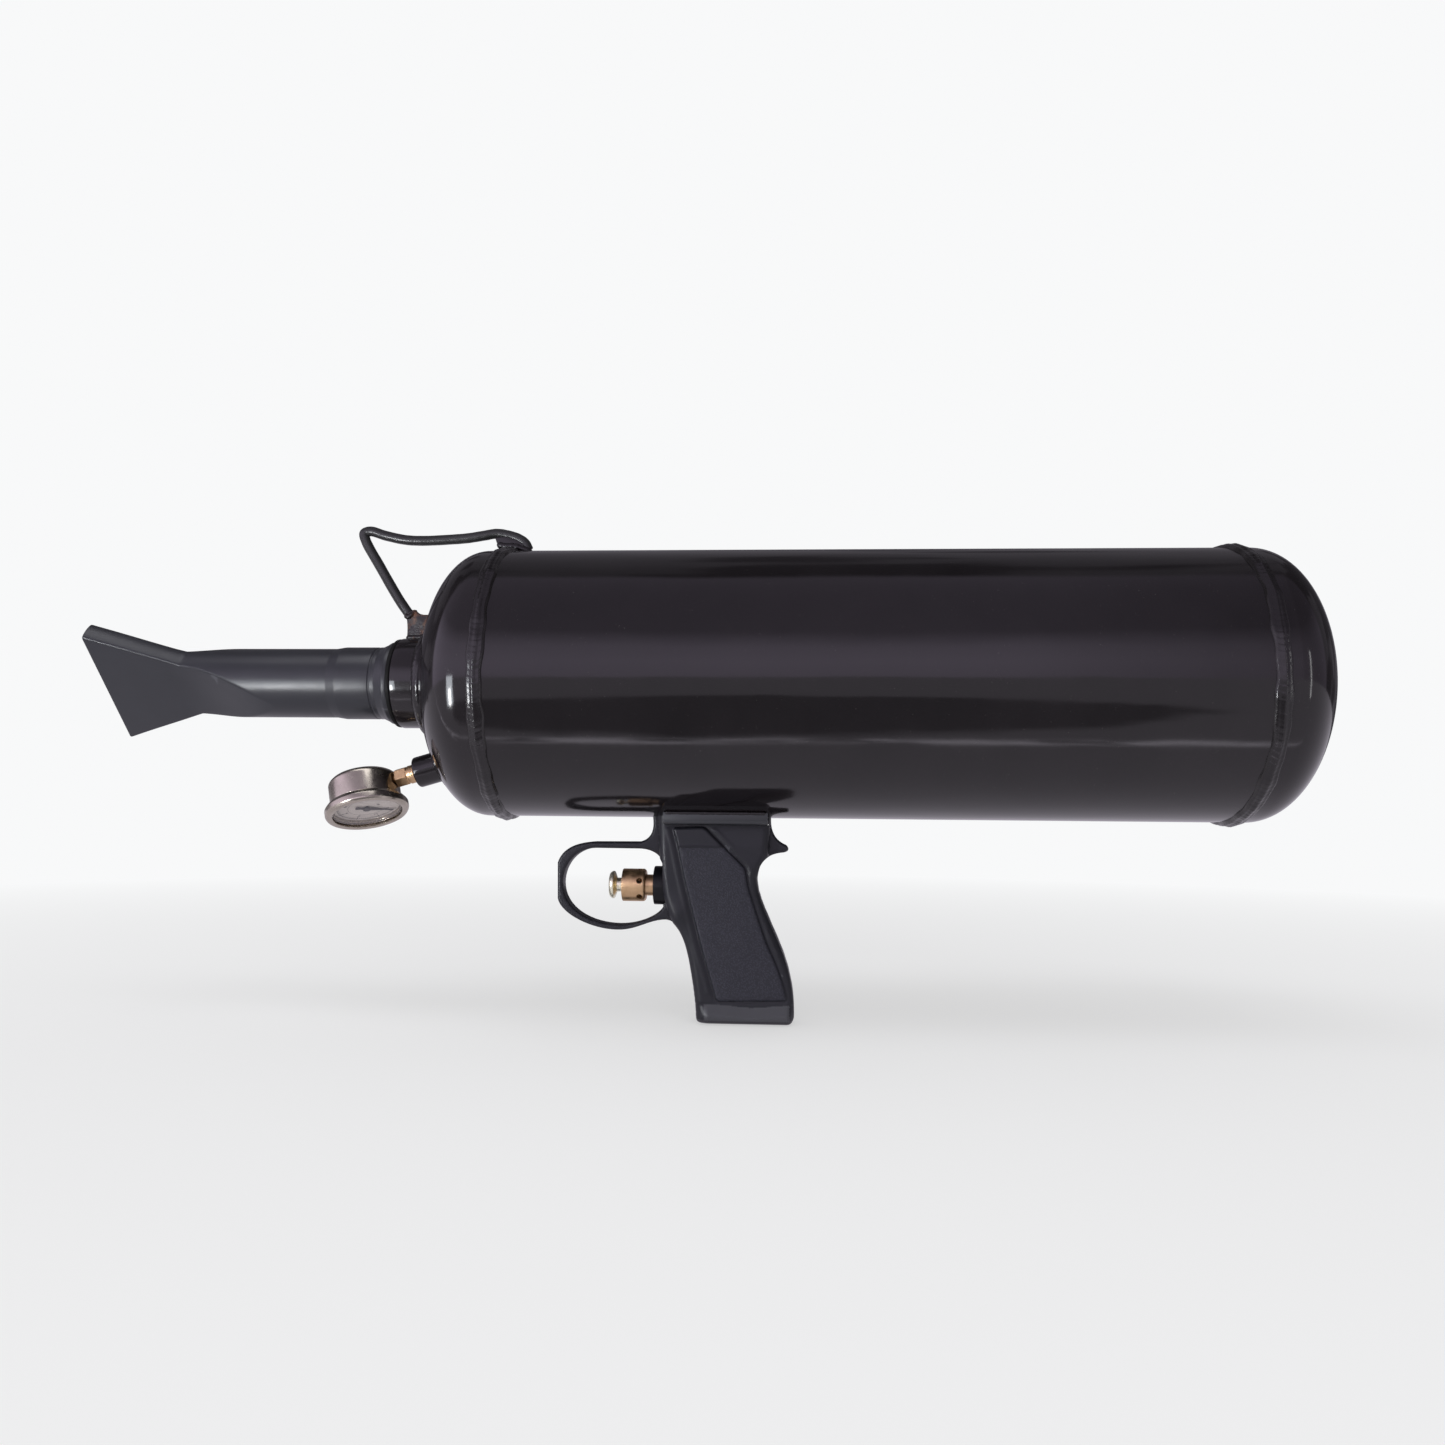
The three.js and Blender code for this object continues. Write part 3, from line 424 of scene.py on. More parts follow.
def bead_ring(x, radius, across, height, tilt, ripples, seed=0.0, axis="x"):
    """A ring of weld metal round an axis, its ripples laid like scales."""
    around = np.linspace(0, TAU, ripples * 8, endpoint=False)
    section = np.linspace(0, TAU, 20, endpoint=False)
    a, s = np.meshgrid(around, section, indexing="ij")
    phase = (a * ripples / TAU + 0.45 * np.cos(s) ** 2 + 0.3 * np.sin(3 * a + seed)) % 1
    face = np.clip(np.sin(s), 0, None)
    wander = 1 + 0.05 * np.sin(7 * a + seed) + 0.03 * np.sin(17 * a + 2 * seed)
    u = across * np.cos(s) * wander
    v = height * np.sin(s) * wander * (1 - 0.08 * face * phase**1.5)
    c, t = math.cos(tilt), math.sin(tilt)
    along, r = x + u * c - v * t, radius + u * t + v * c
    grid = permuted(axis, along, r * np.cos(a), r * np.sin(a)).reshape(-1, 3)
    return grid, torus_faces(len(around), len(section))


def torus_faces(rows, columns):
    return [
        (i * columns + j, i * columns + (j + 1) % columns,
         (i + 1) % rows * columns + (j + 1) % columns, (i + 1) % rows * columns + j)
        for i in range(rows) for j in range(columns)
    ]


def spring(axis, radius, wire, low, high, turns, ends=0.9):
    """A compression spring with closed end coils."""
    steps = int(turns * 40)
    t = np.linspace(0, 1, steps)
    lead = ends / turns
    lift = np.interp(t, [0, lead, 1 - lead, 1], [0, 0.06, 0.94, 1])
    along = low + wire + (high - low - 2 * wire) * lift
    path = permuted(axis, along, radius * np.cos(TAU * turns * t), radius * np.sin(TAU * turns * t))
    return swept(path, wire, sides=14)


def dense(profile, longest):
    """The profile with long straight runs split into shorter ones."""
    points = [np.array(p, float) for p in profile]
    result = [points[0]]
    for here, after in zip(points, points[1:]):
        count = max(1, int(np.ceil(np.linalg.norm(after - here) / longest)))
        result += [here + (after - here) * k / count for k in range(1, count + 1)]
    return result


# ---------------------------------------------------------------- finishes
class Finish:
    """A node material built on one Principled shader."""

    def __init__(self, name, color, roughness, metallic=0.0, **inputs):
        self.material = bpy.data.materials.new(name)
        self.material.use_nodes = True
        self.tree = self.material.node_tree
        self.shader = self.tree.nodes["Principled BSDF"]
        self.place = self.node("ShaderNodeTexCoord").outputs["Object"]
        self.value("Base Color", (*color, 1))
        self.value("Roughness", roughness)
        self.value("Metallic", metallic)
        for key, value in inputs.items():
            self.value(key.replace("_", " "), value)

    def node(self, kind, **settings):
        node = self.tree.nodes.new(kind)
        for key, value in settings.items():
            if key in node.inputs:
                node.inputs[key].default_value = value
            else:
                setattr(node, key, value)
        return node

    def value(self, key, value):
        if isinstance(value, bpy.types.NodeSocket):
            self.tree.links.new(value, self.shader.inputs[key])
        else:
            self.shader.inputs[key].default_value = value

    def link(self, source, target):
        self.tree.links.new(source, target)

    def noise(self, size_mm, detail=3.0, rough=0.55, stretch=(1, 1, 1), shift=0.0):
        """Noise whose features are about size_mm across."""
        mapping = self.node("ShaderNodeMapping")
        mapping.inputs["Scale"].default_value = stretch
        mapping.inputs["Location"].default_value = (shift, 0.7 * shift, 0.3 * shift)
        self.link(self.place, mapping.inputs["Vector"])
        noise = self.node("ShaderNodeTexNoise", Scale=1 / (size_mm * MM), Detail=detail, Roughness=rough)
        self.link(mapping.outputs["Vector"], noise.inputs["Vector"])
        return noise.outputs["Fac"]

    def cells(self, size_mm, feature="F1"):
        cells = self.node("ShaderNodeTexVoronoi", feature=feature, Scale=1 / (size_mm * MM))
        self.link(self.place, cells.inputs["Vector"])
        return cells.outputs["Distance"]

    def spread(self, fac, low, high, start=0.3, end=0.7):
        """Maps fac between start and end onto low to high."""
        node = self.node("ShaderNodeMapRange")
        for key, value in (("From Min", start), ("From Max", end), ("To Min", low), ("To Max", high)):
            node.inputs[key].default_value = value
        self.link(fac, node.inputs["Value"])
        return node.outputs["Result"]

    def blend(self, fac, first, second):
        node = self.node("ShaderNodeMix", data_type="RGBA")
        self.link(fac, node.inputs[0])
        for socket, value in ((node.inputs[6], first), (node.inputs[7], second)):
            if isinstance(value, bpy.types.NodeSocket):
                self.link(value, socket)
            else:
                socket.default_value = (*value, 1)
        return node.outputs[2]

    def worn_edges(self, start=0.53, end=0.6):
        """One where the surface turns sharply outwards."""
        geometry = self.node("ShaderNodeNewGeometry")
        return self.spread(geometry.outputs["Pointiness"], 0, 1, start, end)

    def bump(self, height, depth_mm, strength=1.0, under=None):
        node = self.node("ShaderNodeBump", Strength=strength, Distance=depth_mm * MM)
        self.link(height, node.inputs["Height"])
        if under is not None:
            self.link(under, node.inputs["Normal"])
        return node.outputs["Normal"]


def gloss_paint(name, color, roughness, waviness, peel=0.006):
    """Sprayed enamel: orange peel over the slow waves of rolled and welded sheet."""
    f = Finish(name, color, roughness, IOR=1.5)
    waves = f.bump(f.noise(60, 1.5, 0.4, stretch=(0.4, 1, 1)), waviness)
    dents = f.bump(f.noise(21, 2.0, 0.5, stretch=(0.4, 1, 1)), 0.14 * waviness, under=waves)
    f.value("Normal", f.bump(f.noise(2.2, 2.0, 0.5), peel, under=dents))
    haze = f.noise(45, 5.0, 0.6)
    f.value("Roughness", f.spread(haze, roughness * 0.7, roughness * 1.7))
    dust = f.spread(f.noise(1.1, 2.0, 0.7), 0, 0.5, 0.7, 0.78)
    f.value("Base Color", f.blend(dust, f.blend(f.spread(haze, 0, 1), color, [1.5 * c for c in color]),
                                  (0.10, 0.095, 0.09)))
    return f.material


def weld_paint(name, color):
    """The same enamel over a hot, uneven bead: rougher, with rubbed crests."""
    f = Finish(name, color, 0.2, IOR=1.5)
    f.value("Normal", f.bump(f.noise(1.6, 3.0, 0.55), 0.05))
    f.value("Roughness", f.spread(f.noise(6, 4.0, 0.6), 0.12, 0.34))
    crest = f.worn_edges(0.56, 0.66)
    f.value("Base Color", f.blend(crest, color, (0.035, 0.031, 0.028)))
    return f.material


def burnt_paint(name):
    """Paint browned by the heat of a later weld."""
    f = Finish(name, (0.012, 0.009, 0.008), 0.25, IOR=1.5)
    scorch = f.spread(f.noise(7, 4.0, 0.6), 0, 1, 0.53, 0.66)
    f.value("Base Color", f.blend(scorch, (0.010, 0.0075, 0.007), (0.11, 0.045, 0.02)))
    f.value("Roughness", f.spread(f.noise(3, 4.0, 0.6), 0.15, 0.5))
    f.value("Normal", f.bump(f.noise(1.6, 5.0, 0.6), 0.14))
    return f.material


def moulded(name, color, roughness, grain_mm, depth_mm, tint=(0.045, 0.046, 0.054), shine=0.5):
    """Injection-moulded plastic with a fine spark-eroded grain and rubbed edges."""
    f = Finish(name, color, roughness, IOR=1.5, Specular_IOR_Level=shine)
    grain = f.bump(f.noise(grain_mm, 3.0, 0.65), depth_mm)
    f.value("Normal", f.bump(f.noise(14, 2.0, 0.5), 0.05, under=grain))
    f.value("Roughness", f.spread(f.noise(22, 3.0, 0.55), roughness * 0.75, roughness * 1.3, 0.1, 0.9))
    rubbed = f.worn_edges()
    shade = f.blend(f.spread(f.noise(30, 3.0, 0.55), 0, 1, 0.1, 0.9), color, [1.3 * c for c in color])
    f.value("Base Color", f.blend(rubbed, shade, tint))
    return f.material


def stippled(name, color):
    """The grip panel: a pebbled non-slip texture, coloured darker between the pebbles and lighter on their
    tops as painted shade and painted highlight.
    """
    f = Finish(name, color, 0.46, IOR=1.5, Specular_IOR_Level=0.3)
    pebbles = f.spread(f.cells(0.95), 1, 0, 0.0, 0.62)
    fine = f.bump(f.noise(0.35, 2.0, 0.6), 0.05)
    f.value("Normal", f.bump(pebbles, 0.14, 0.9, under=fine))
    f.value("Roughness", f.spread(f.noise(12, 4.0, 0.6), 0.42, 0.62))
    # Painted shade and highlight: the colour follows the pebble height, dark in the pits and light on the
    # tops.
    f.value("Base Color", f.blend(pebbles, [0.55 * c for c in color], [1.15 * c for c in color]))
    return f.material


def machined(name, color, dark, roughness, ring_axis="x", tarnish=0.5):
    """Turned metal: fine tool rings round its axis, with tarnish in patches."""
    f = Finish(name, color, roughness, 1.0)
    stretch = {"x": (60, 1, 1), "y": (1, 60, 1), "z": (1, 1, 60)}[ring_axis]
    rings = f.noise(9, 2.0, 0.6, stretch=stretch)
    f.value("Normal", f.bump(f.noise(0.6, 2.0, 0.5), 0.012, under=f.bump(rings, 0.02)))
    patches = f.spread(f.noise(5, 5.0, 0.65), 0, tarnish, 0.42, 0.66)
    f.value("Base Color", f.blend(patches, f.blend(f.spread(rings, 0, 0.35), color, dark), dark))
    f.value("Roughness", f.spread(f.noise(4, 5.0, 0.6), roughness * 0.7, roughness * 1.5))
    return f.material


def plated(name, color, roughness):
    """Bright plating with hairline scratches and slight clouding."""
    f = Finish(name, color, roughness, 1.0)
    scratches = f.spread(f.noise(1.5, 2.0, 0.6, stretch=(1, 14, 1)), 0, 1, 0.62, 0.68)
    clouds = f.noise(9, 4.0, 0.6)
    f.value("Normal", f.bump(scratches, 0.006, under=f.bump(f.noise(7, 1.5, 0.5), 0.03)))
    f.value("Roughness", f.spread(clouds, roughness * 0.6, roughness * 1.8))
    f.value("Base Color", f.blend(f.spread(clouds, 0, 1), color, [0.84 * c for c in color]))
    return f.material


def soft(name, color, roughness, grain_mm=0.5, depth_mm=0.03, **inputs):
    """Rubber, vinyl and soft plastics."""
    f = Finish(name, color, roughness, **inputs)
    f.value("Normal", f.bump(f.noise(grain_mm, 3.0, 0.6), depth_mm))
    f.value("Roughness", f.spread(f.noise(7, 4.0, 0.6), roughness * 0.8, min(1.0, roughness * 1.2)))
    f.value("Base Color", f.blend(f.spread(f.noise(9, 4.0, 0.6), 0, 1), color, [1.3 * c for c in color]))
    return f.material


def clear_glass(name):
    f = Finish(name, (0.95, 0.97, 0.97), 0.03, IOR=1.45)
    tree, shader = f.tree, f.shader
    through = f.node("ShaderNodeBsdfTransparent")
    through.inputs["Color"].default_value = (0.96, 0.945, 0.94, 1)
    shine = f.node("ShaderNodeBsdfGlossy", Roughness=0.04)
    smudges = f.spread(f.noise(6, 4.0, 0.6), 0.03, 0.12)
    f.link(smudges, shine.inputs["Roughness"])
    facing = f.node("ShaderNodeLayerWeight", Blend=0.25)
    front = f.node("ShaderNodeNewGeometry")
    outside = f.node("ShaderNodeMath", operation="SUBTRACT")
    outside.inputs[0].default_value = 1.0
    f.link(front.outputs["Backfacing"], outside.inputs[1])
    share = f.node("ShaderNodeMath", operation="MULTIPLY")
    f.link(f.spread(facing.outputs["Facing"], 0.04, 0.5, 0.2, 1.0), share.inputs[0])
    f.link(outside.outputs[0], share.inputs[1])
    mix = f.node("ShaderNodeMixShader")
    f.link(share.outputs[0], mix.inputs[0])
    f.link(through.outputs[0], mix.inputs[1])
    f.link(shine.outputs[0], mix.inputs[2])
    tree.nodes.remove(shader)
    f.link(mix.outputs[0], tree.nodes["Material Output"].inputs["Surface"])
    return f.material


TANK_BLACK = (0.0068, 0.0054, 0.0064)
paint = gloss_paint("tank_enamel", TANK_BLACK, 0.085, 0.9)
handle_paint = gloss_paint("handle_enamel", (0.014, 0.014, 0.014), 0.27, 0.05, peel=0.001)
bead_paint = weld_paint("weld_enamel", TANK_BLACK)
scorched = burnt_paint("scorched_enamel")
barrel_plastic = moulded("barrel_plastic", (0.016, 0.0164, 0.0205), 0.32, 0.5, 0.010, shine=0.42)
rim_plastic = moulded("rim_plastic", (0.016, 0.0164, 0.0205), 0.8, 0.5, 0.02, shine=0.08)
grip_plastic = moulded("grip_plastic", (0.010, 0.010, 0.0135), 0.38, 0.6, 0.02, shine=0.3)
panel_plastic = stippled("grip_panel", (0.027, 0.0265, 0.038))
# Painted highlight: the sloping foot gets a lighter copy of the grip's black plastic, standing in for the
# light that falls on that facet.
lit_foot_plastic = moulded("grip_foot", (0.040, 0.0395, 0.046), 0.42, 0.6, 0.03, shine=0.3)
bracket_paint = moulded("bracket_paint", (0.018, 0.0185, 0.022), 0.38, 1.8, 0.02, shine=0.4)
socket_plastic = moulded("socket_plastic", (0.004, 0.004, 0.005), 0.34, 0.8, 0.02, (0.01, 0.01, 0.011), 0.2)
brass_x = machined("brass_turned_x", (0.67, 0.465, 0.265), (0.48, 0.31, 0.165), 0.36)
brass_y = machined("brass_turned_y", (0.78, 0.57, 0.30), (0.40, 0.25, 0.11), 0.26, "y")
button_brass = machined("brass_button", (0.98, 0.97, 0.77), (0.88, 0.86, 0.64), 0.33)
movement_brass = machined("brass_plate", (0.76, 0.57, 0.28), (0.40, 0.27, 0.12), 0.3, "z")
chrome = plated("polished_case", (0.50, 0.455, 0.385), 0.19)
ball_chrome = plated("ball_chrome", (0.70, 0.70, 0.71), 0.06)
zinc = plated("zinc_plate", (0.56, 0.56, 0.57), 0.26)
spring_steel = plated("spring_wire", (0.46, 0.46, 0.48), 0.2)
aluminium = machined("turned_aluminium", (0.66, 0.67, 0.69), (0.42, 0.43, 0.45), 0.28, "x", 0.25)
rubber = soft("rubber", (0.004, 0.004, 0.004), 0.6, Specular_IOR_Level=0.15)
nylon = soft("blue_nylon", (0.02, 0.07, 0.24), 0.32, 2.0, 0.02)
ptfe = soft("ptfe", (0.80, 0.79, 0.75), 0.45, 1.5, 0.02)
red_vinyl = soft("dipped_vinyl", (0.42, 0.012, 0.01), 0.30, 3.0, 0.05, Coat_Weight=0.3)
dial_face = soft("dial_enamel", (0.50, 0.47, 0.455), 0.5, 0.8, 0.01)
dial_ink = soft("dial_ink", (0.012, 0.012, 0.013), 0.55)
pointer_paint = soft("pointer_paint", (0.010, 0.010, 0.011), 0.42)
glass = clear_glass("gauge_glass")


# ---------------------------------------------------------------- tank
def dome(radius, depth, inner, steps):
    """Dome outline from the skirt to radius `inner`, as [x, radius], on the rear side."""
    power = 2 / DOME_SQUARENESS
    end = math.asin((inner / radius) ** (1 / power)) if inner > 0 else 0.0
    turns = np.linspace(math.pi / 2, end, steps + 1)
    start = SEAM_X + SKIRT
    return [(start + depth * max(0.0, math.cos(a)) ** power, radius * math.sin(a) ** power) for a in turns]


TANK_SIDES = 192
INSIDE = TANK_RADIUS - TANK_WALL
ROOT = 0.5


def head_outline(hole):
    """Inner skin from the hole out to the seam, then the outer skin back to the hole."""
    inner = dome(INSIDE, DOME_DEPTH - TANK_WALL, hole, 24)[::-1]
    outer = dome(TANK_RADIUS, DOME_DEPTH, hole, 44)
    return inner + [(SEAM_X + ROOT, INSIDE), (SEAM_X + ROOT, TANK_RADIUS - 0.5),
                    (SEAM_X + ROOT + 0.5, TANK_RADIUS)] + outer


def mirror(profile):
    return [(-along, radius) for along, radius in profile]


def seam_bead(side, seed):
    """A capping bead between shell and head: crescent ripples, uneven toes, a root in the gap."""
    ripples = 150
    around = np.linspace(0, TAU, ripples * 8, endpoint=False)
    across = np.linspace(-1, 1, 13)
    a, u = np.meshgrid(around, across, indexing="ij")
    wander = 0.35 * np.sin(5 * a + seed) + 0.2 * np.sin(13 * a + 2.3 * seed)
    half = 4.4 * (1 + 0.07 * np.sin(11 * a + seed) + 0.05 * np.sin(29 * a + 3 * seed))
    phase = (a * ripples / TAU + 0.7 * u * u + 0.3 * np.sin(4 * a + seed)) % 1
    crown = np.sqrt(np.clip(1 - np.abs(u) ** 2.4, 0, 1))
    crown *= 1 + 0.14 * np.cos(2.2 * math.pi * u) - 0.10 * side * u
    lift = 2.25 * crown * (1 + 0.08 * np.sin(19 * a + seed) + 0.04 * np.sin(43 * a + seed))
    lift -= 0.10 * crown * phase**1.6
    along = side * SEAM_X + wander * (1 - 0.3 * u * u) + half * u
    radius = TANK_RADIUS - 0.12 + lift
    rows = [permuted("x", along, radius * np.cos(a), radius * np.sin(a))]
    root = [(0.3, TANK_RADIUS - 0.3), (0.3, INSIDE + 0.3), (-0.3, INSIDE + 0.3), (-0.3, TANK_RADIUS - 0.3)]
    for offset, r in root:
        flat = np.full((len(around), 1), side * SEAM_X + offset)
        ring = around[:, None]
        rows.append(permuted("x", flat, r * np.cos(ring), r * np.sin(ring)))
    grid = np.concatenate(rows, axis=1)
    return grid.reshape(-1, 3), torus_faces(len(around), grid.shape[1])


def build_tank():
    end = SEAM_X - ROOT
    wall = [(-end, INSIDE), (-end, TANK_RADIUS - 0.5), (-end + 0.5, TANK_RADIUS),
            (end - 0.5, TANK_RADIUS), (end, TANK_RADIUS - 0.5), (end, INSIDE)]
    shell = turned("tank_shell", "x", dense(wall, 8), paint, sides=TANK_SIDES, soften=0)
    holes = [rod("z", 8.3, -80, -60, (PILOT_X, 0, 0)), rod("y", 13.3, 60, 90, (FILL_X, 0, 0)),
             rod("y", 10.3, 60, 90, (RELIEF_X, 0, 0))]
    cut_by(shell, *holes)
    front = turned("front_head", "x", mirror(head_outline(NECK_RADIUS + 0.3)), paint,
                   sides=TANK_SIDES, soften=0)
    cut_by(front, rod("x", GAUGE_BOSS_RADIUS + 0.3, 30, 62), place=GAUGE_PLACE)
    turned("rear_head", "x", head_outline(0), paint, sides=TANK_SIDES, soften=0)
    piece("front_seam_weld", seam_bead(-1, 0.4), bead_paint, sharp=70)
    piece("rear_seam_weld", seam_bead(1, 2.1), bead_paint, sharp=70)


def build_outlet():
    neck = [(NECK_FRONT, 20.3), (NECK_FRONT, NECK_RADIUS), (NECK_BACK, NECK_RADIUS), (NECK_BACK, 18.2),
            (-240.3, 18.2), (-240.3, 20.3)]
    turned("outlet_neck", "x", dense(neck, 4), paint, sides=160, soften=0.7)
    bead = bead_ring(-247.3, 28.4, 4.0, 2.5, math.radians(45), 60, 1.1)
    piece("neck_weld", bead, bead_paint, sharp=70)


# ---------------------------------------------------------------- gauge placement
GAUGE_BOSS_RADIUS = 8.9
gauge_dip = Matrix.Rotation(-math.radians(GAUGE_DIP), 4, "Y")
gauge_lean = Matrix.Rotation(-math.radians(GAUGE_LEAN), 4, "X")
GAUGE_PLACE = Matrix.Translation(Vector(GAUGE_AT)) @ gauge_dip @ gauge_lean


def dome_gap(point):
    """Negative inside the front dome's outer skin, positive outside."""
    x, r = point[0], math.hypot(point[1], point[2])
    deep = max(0.0, (-x - SEAM_X - SKIRT) / DOME_DEPTH)
    return deep**DOME_SQUARENESS + (r / TANK_RADIUS) ** DOME_SQUARENESS - 1


def dome_foot(place, radius, steps=90, near=20.0, far=60.0):
    """Where a bar of this radius along the placed +X axis meets the front dome."""
    path = []
    for angle in np.linspace(0, TAU, steps + 1):
        low, high = near, far
        for _ in range(40):
            middle = (low + high) / 2
            point = place @ Vector((middle, radius * math.cos(angle), radius * math.sin(angle)))
            low, high = (middle, high) if dome_gap(point) > 0 else (low, middle)
        path.append(tuple(place @ Vector((low, radius * math.cos(angle), radius * math.sin(angle)))))
    return path


# ---------------------------------------------------------------- quick-release valve
VALVE_OUTER, VALVE_BORE, VALVE_FRONT, VALVE_SEAT, VALVE_BACK = 17.9, 15.5, -245.2, -238.0, -167.5
PISTON_FRONT, PISTON_BACK, CROWN, CAP, CAP_BACK = -234.6, -197.5, -231.0, -178.0, -172.5
WINDOW_FRONT, WINDOW_BACK = -234.0, -214.0


def build_valve():
    tube = [(VALVE_FRONT, 12), (VALVE_FRONT, 20), (-240.6, 20), (-240.6, VALVE_OUTER),
            (VALVE_BACK, VALVE_OUTER), (VALVE_BACK, VALVE_BORE), (VALVE_SEAT, VALVE_BORE), (VALVE_SEAT, 12)]
    housing = turned("valve_housing", "x", dense(tube, 5), aluminium, sides=128, soften=0.5)
    slot = extruded(softened([(WINDOW_FRONT, -6), (WINDOW_BACK, -6), (WINDOW_BACK, 6), (WINDOW_FRONT, 6)],
                             4.0, steps=8), -30, 30, "z")
    groove = revolved("x", sleeve(VALVE_BORE - 1, VALVE_BORE + 1, -172.2, -170), sides=128, soften=0)
    cut_by(housing, *(spun(slot, "x", 60 * i) for i in range(3)), groove)
    skin = VALVE_BORE - 0.25
    piston = [(PISTON_FRONT, 0), (PISTON_FRONT, skin), (-205.2, skin), (-205.2, skin - 1.9),
              (-202.2, skin - 1.9), (-202.2, skin), (PISTON_BACK, skin), (PISTON_BACK, skin - 3),
              (CROWN, skin - 3), (CROWN, 0)]
    turned("valve_piston", "x", piston, aluminium, "piston", sides=128, soften=0.5)
    ring = sleeve(skin - 1.7, VALVE_BORE - 0.1, -205, -202.4)
    turned("piston_ring", "x", ring, rubber, "piston", sides=128, soften=0.9)
    pad = [(VALVE_SEAT + 0.15, 0), (VALVE_SEAT + 0.15, 14), (PISTON_FRONT - 0.1, 14), (PISTON_FRONT - 0.1, 0)]
    turned("valve_pad", "x", pad, rubber, "piston", sides=96, soften=0.6)
    coil = spring("x", 8.5, 0.9, CROWN + 0.2, CAP - 0.2, 7)
    obj = piece("valve_spring", coil, spring_steel, sharp=60)
    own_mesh(obj)
    cap = [(CAP, 4.6), (CAP, 13.2), (CAP + 2, 13.2), (CAP + 2, VALVE_BORE - 0.2),
           (CAP_BACK, VALVE_BORE - 0.2), (CAP_BACK, 4.6)]
    lid = turned("valve_cap", "x", dense(cap, 3), aluminium, sides=128, soften=0.4)
    cut_by(lid, *(rod("x", 1.3, CAP_BACK - 2, CAP_BACK + 2, (0, 10.5 * s, 0), 24) for s in (1, -1)))
    clip = turned("valve_retaining_ring", "x", sleeve(VALVE_BORE - 2.2, VALVE_BORE + 0.7, -171.9, -170.3),
                  spring_steel, sides=128, soften=0.25)
    cut_by(clip, box_shape(-173, -169, -3, 3, 5, 20))
    fitting = [(CAP + 0.4, 1.6), (CAP + 0.4, 4.3), (-172.2, 4.3), (-172.2, 7.4), (-167.2, 7.4),
               (-167.2, 5.4), (-158, 5.4), (-158, 3.3), (-166, 3.3), (-166, 1.6)]
    turned("valve_pilot_fitting", "x", fitting, brass_x, sides=96, soften=0.35,
           hex_part=(-172.2, -167.2, 12.8))
    line = smooth_path([(-165.7, 0, 0), (-150, 0, 0), (-122, 0, -8), (-97, 0, -32), (PILOT_X, 0, -54),
                        (PILOT_X, 0, -67.5)], 24)
    piece("pilot_tube", swept(line, 2.7, 28, hollow=1.8), nylon)


# ---------------------------------------------------------------- barrel and fan nozzle
ARC_POINTS, EDGE_POINTS, FLAT_POINTS = 88, 6, 9


def barrel_ring(x, radius, half_width, half_thickness, skew=0.0, fillet=1.2):
    """One section: two side arcs joined by two flats, the edges between them slightly rounded."""
    flat = min(half_thickness, radius * 0.995)
    reach = math.asin(flat / radius)
    shift = half_width - radius
    trim = fillet / radius
    turns = np.linspace(-reach + trim, reach - trim, ARC_POINTS)
    half = [(shift + radius * math.cos(a), radius * math.sin(a)) for a in turns]
    if half_thickness >= 0.995 * radius:
        for a in np.linspace(reach - trim, math.pi - reach + trim, FLAT_POINTS + 2 * EDGE_POINTS + 2)[1:-1]:
            half.append((radius * math.cos(a), radius * math.sin(a)))
        return placed_section(x, skew, np.array(half + [(-u, -w) for u, w in half]))
    edge = shift + radius * math.cos(reach)
    start, corner = np.array(half[-1]), np.array((edge, flat))
    stop = np.array((max(edge - fillet, 0.3), flat))
    steps = np.linspace(0, 1, EDGE_POINTS + 2)[1:-1]
    rounded = [(1 - t) ** 2 * start + 2 * t * (1 - t) * corner + t * t * stop for t in steps]
    half += [tuple(point) for point in rounded]
    for u in np.linspace(stop[0], -stop[0], FLAT_POINTS):
        bulge = math.sqrt(max(0.0, radius**2 - max(0.0, abs(u) - shift) ** 2))
        half.append((u, min(half_thickness, bulge)))
    half += [(-u, w) for u, w in rounded[::-1]]
    return placed_section(x, skew, np.array(half + [(-u, -w) for u, w in half]))


def placed_section(x, skew, outline):
    """A section's points, turned to the fan's roll about the barrel."""
    u, w = outline[:, 0], outline[:, 1]
    c, s = math.cos(math.radians(FAN_TURN)), math.sin(math.radians(FAN_TURN))
    return np.stack([x + skew * u, -w * c - u * s, -w * s + u * c], axis=-1)


def fan_size(x):
    thick = 6.1 + 13.9 * (1 - smooth_step((FAN_START - x) / 65)) ** 1.15
    return TUBE_RADIUS + 0.4 * max(0.0, FAN_FLARE - x), thick


def corner_back(x, radius=1.1):
    """How far the mouth's rounded corners have pulled in at x."""
    ahead = max(0.0, radius - (x - FAN_MOUTH))
    return radius - math.sqrt(max(0.0, radius**2 - ahead**2))


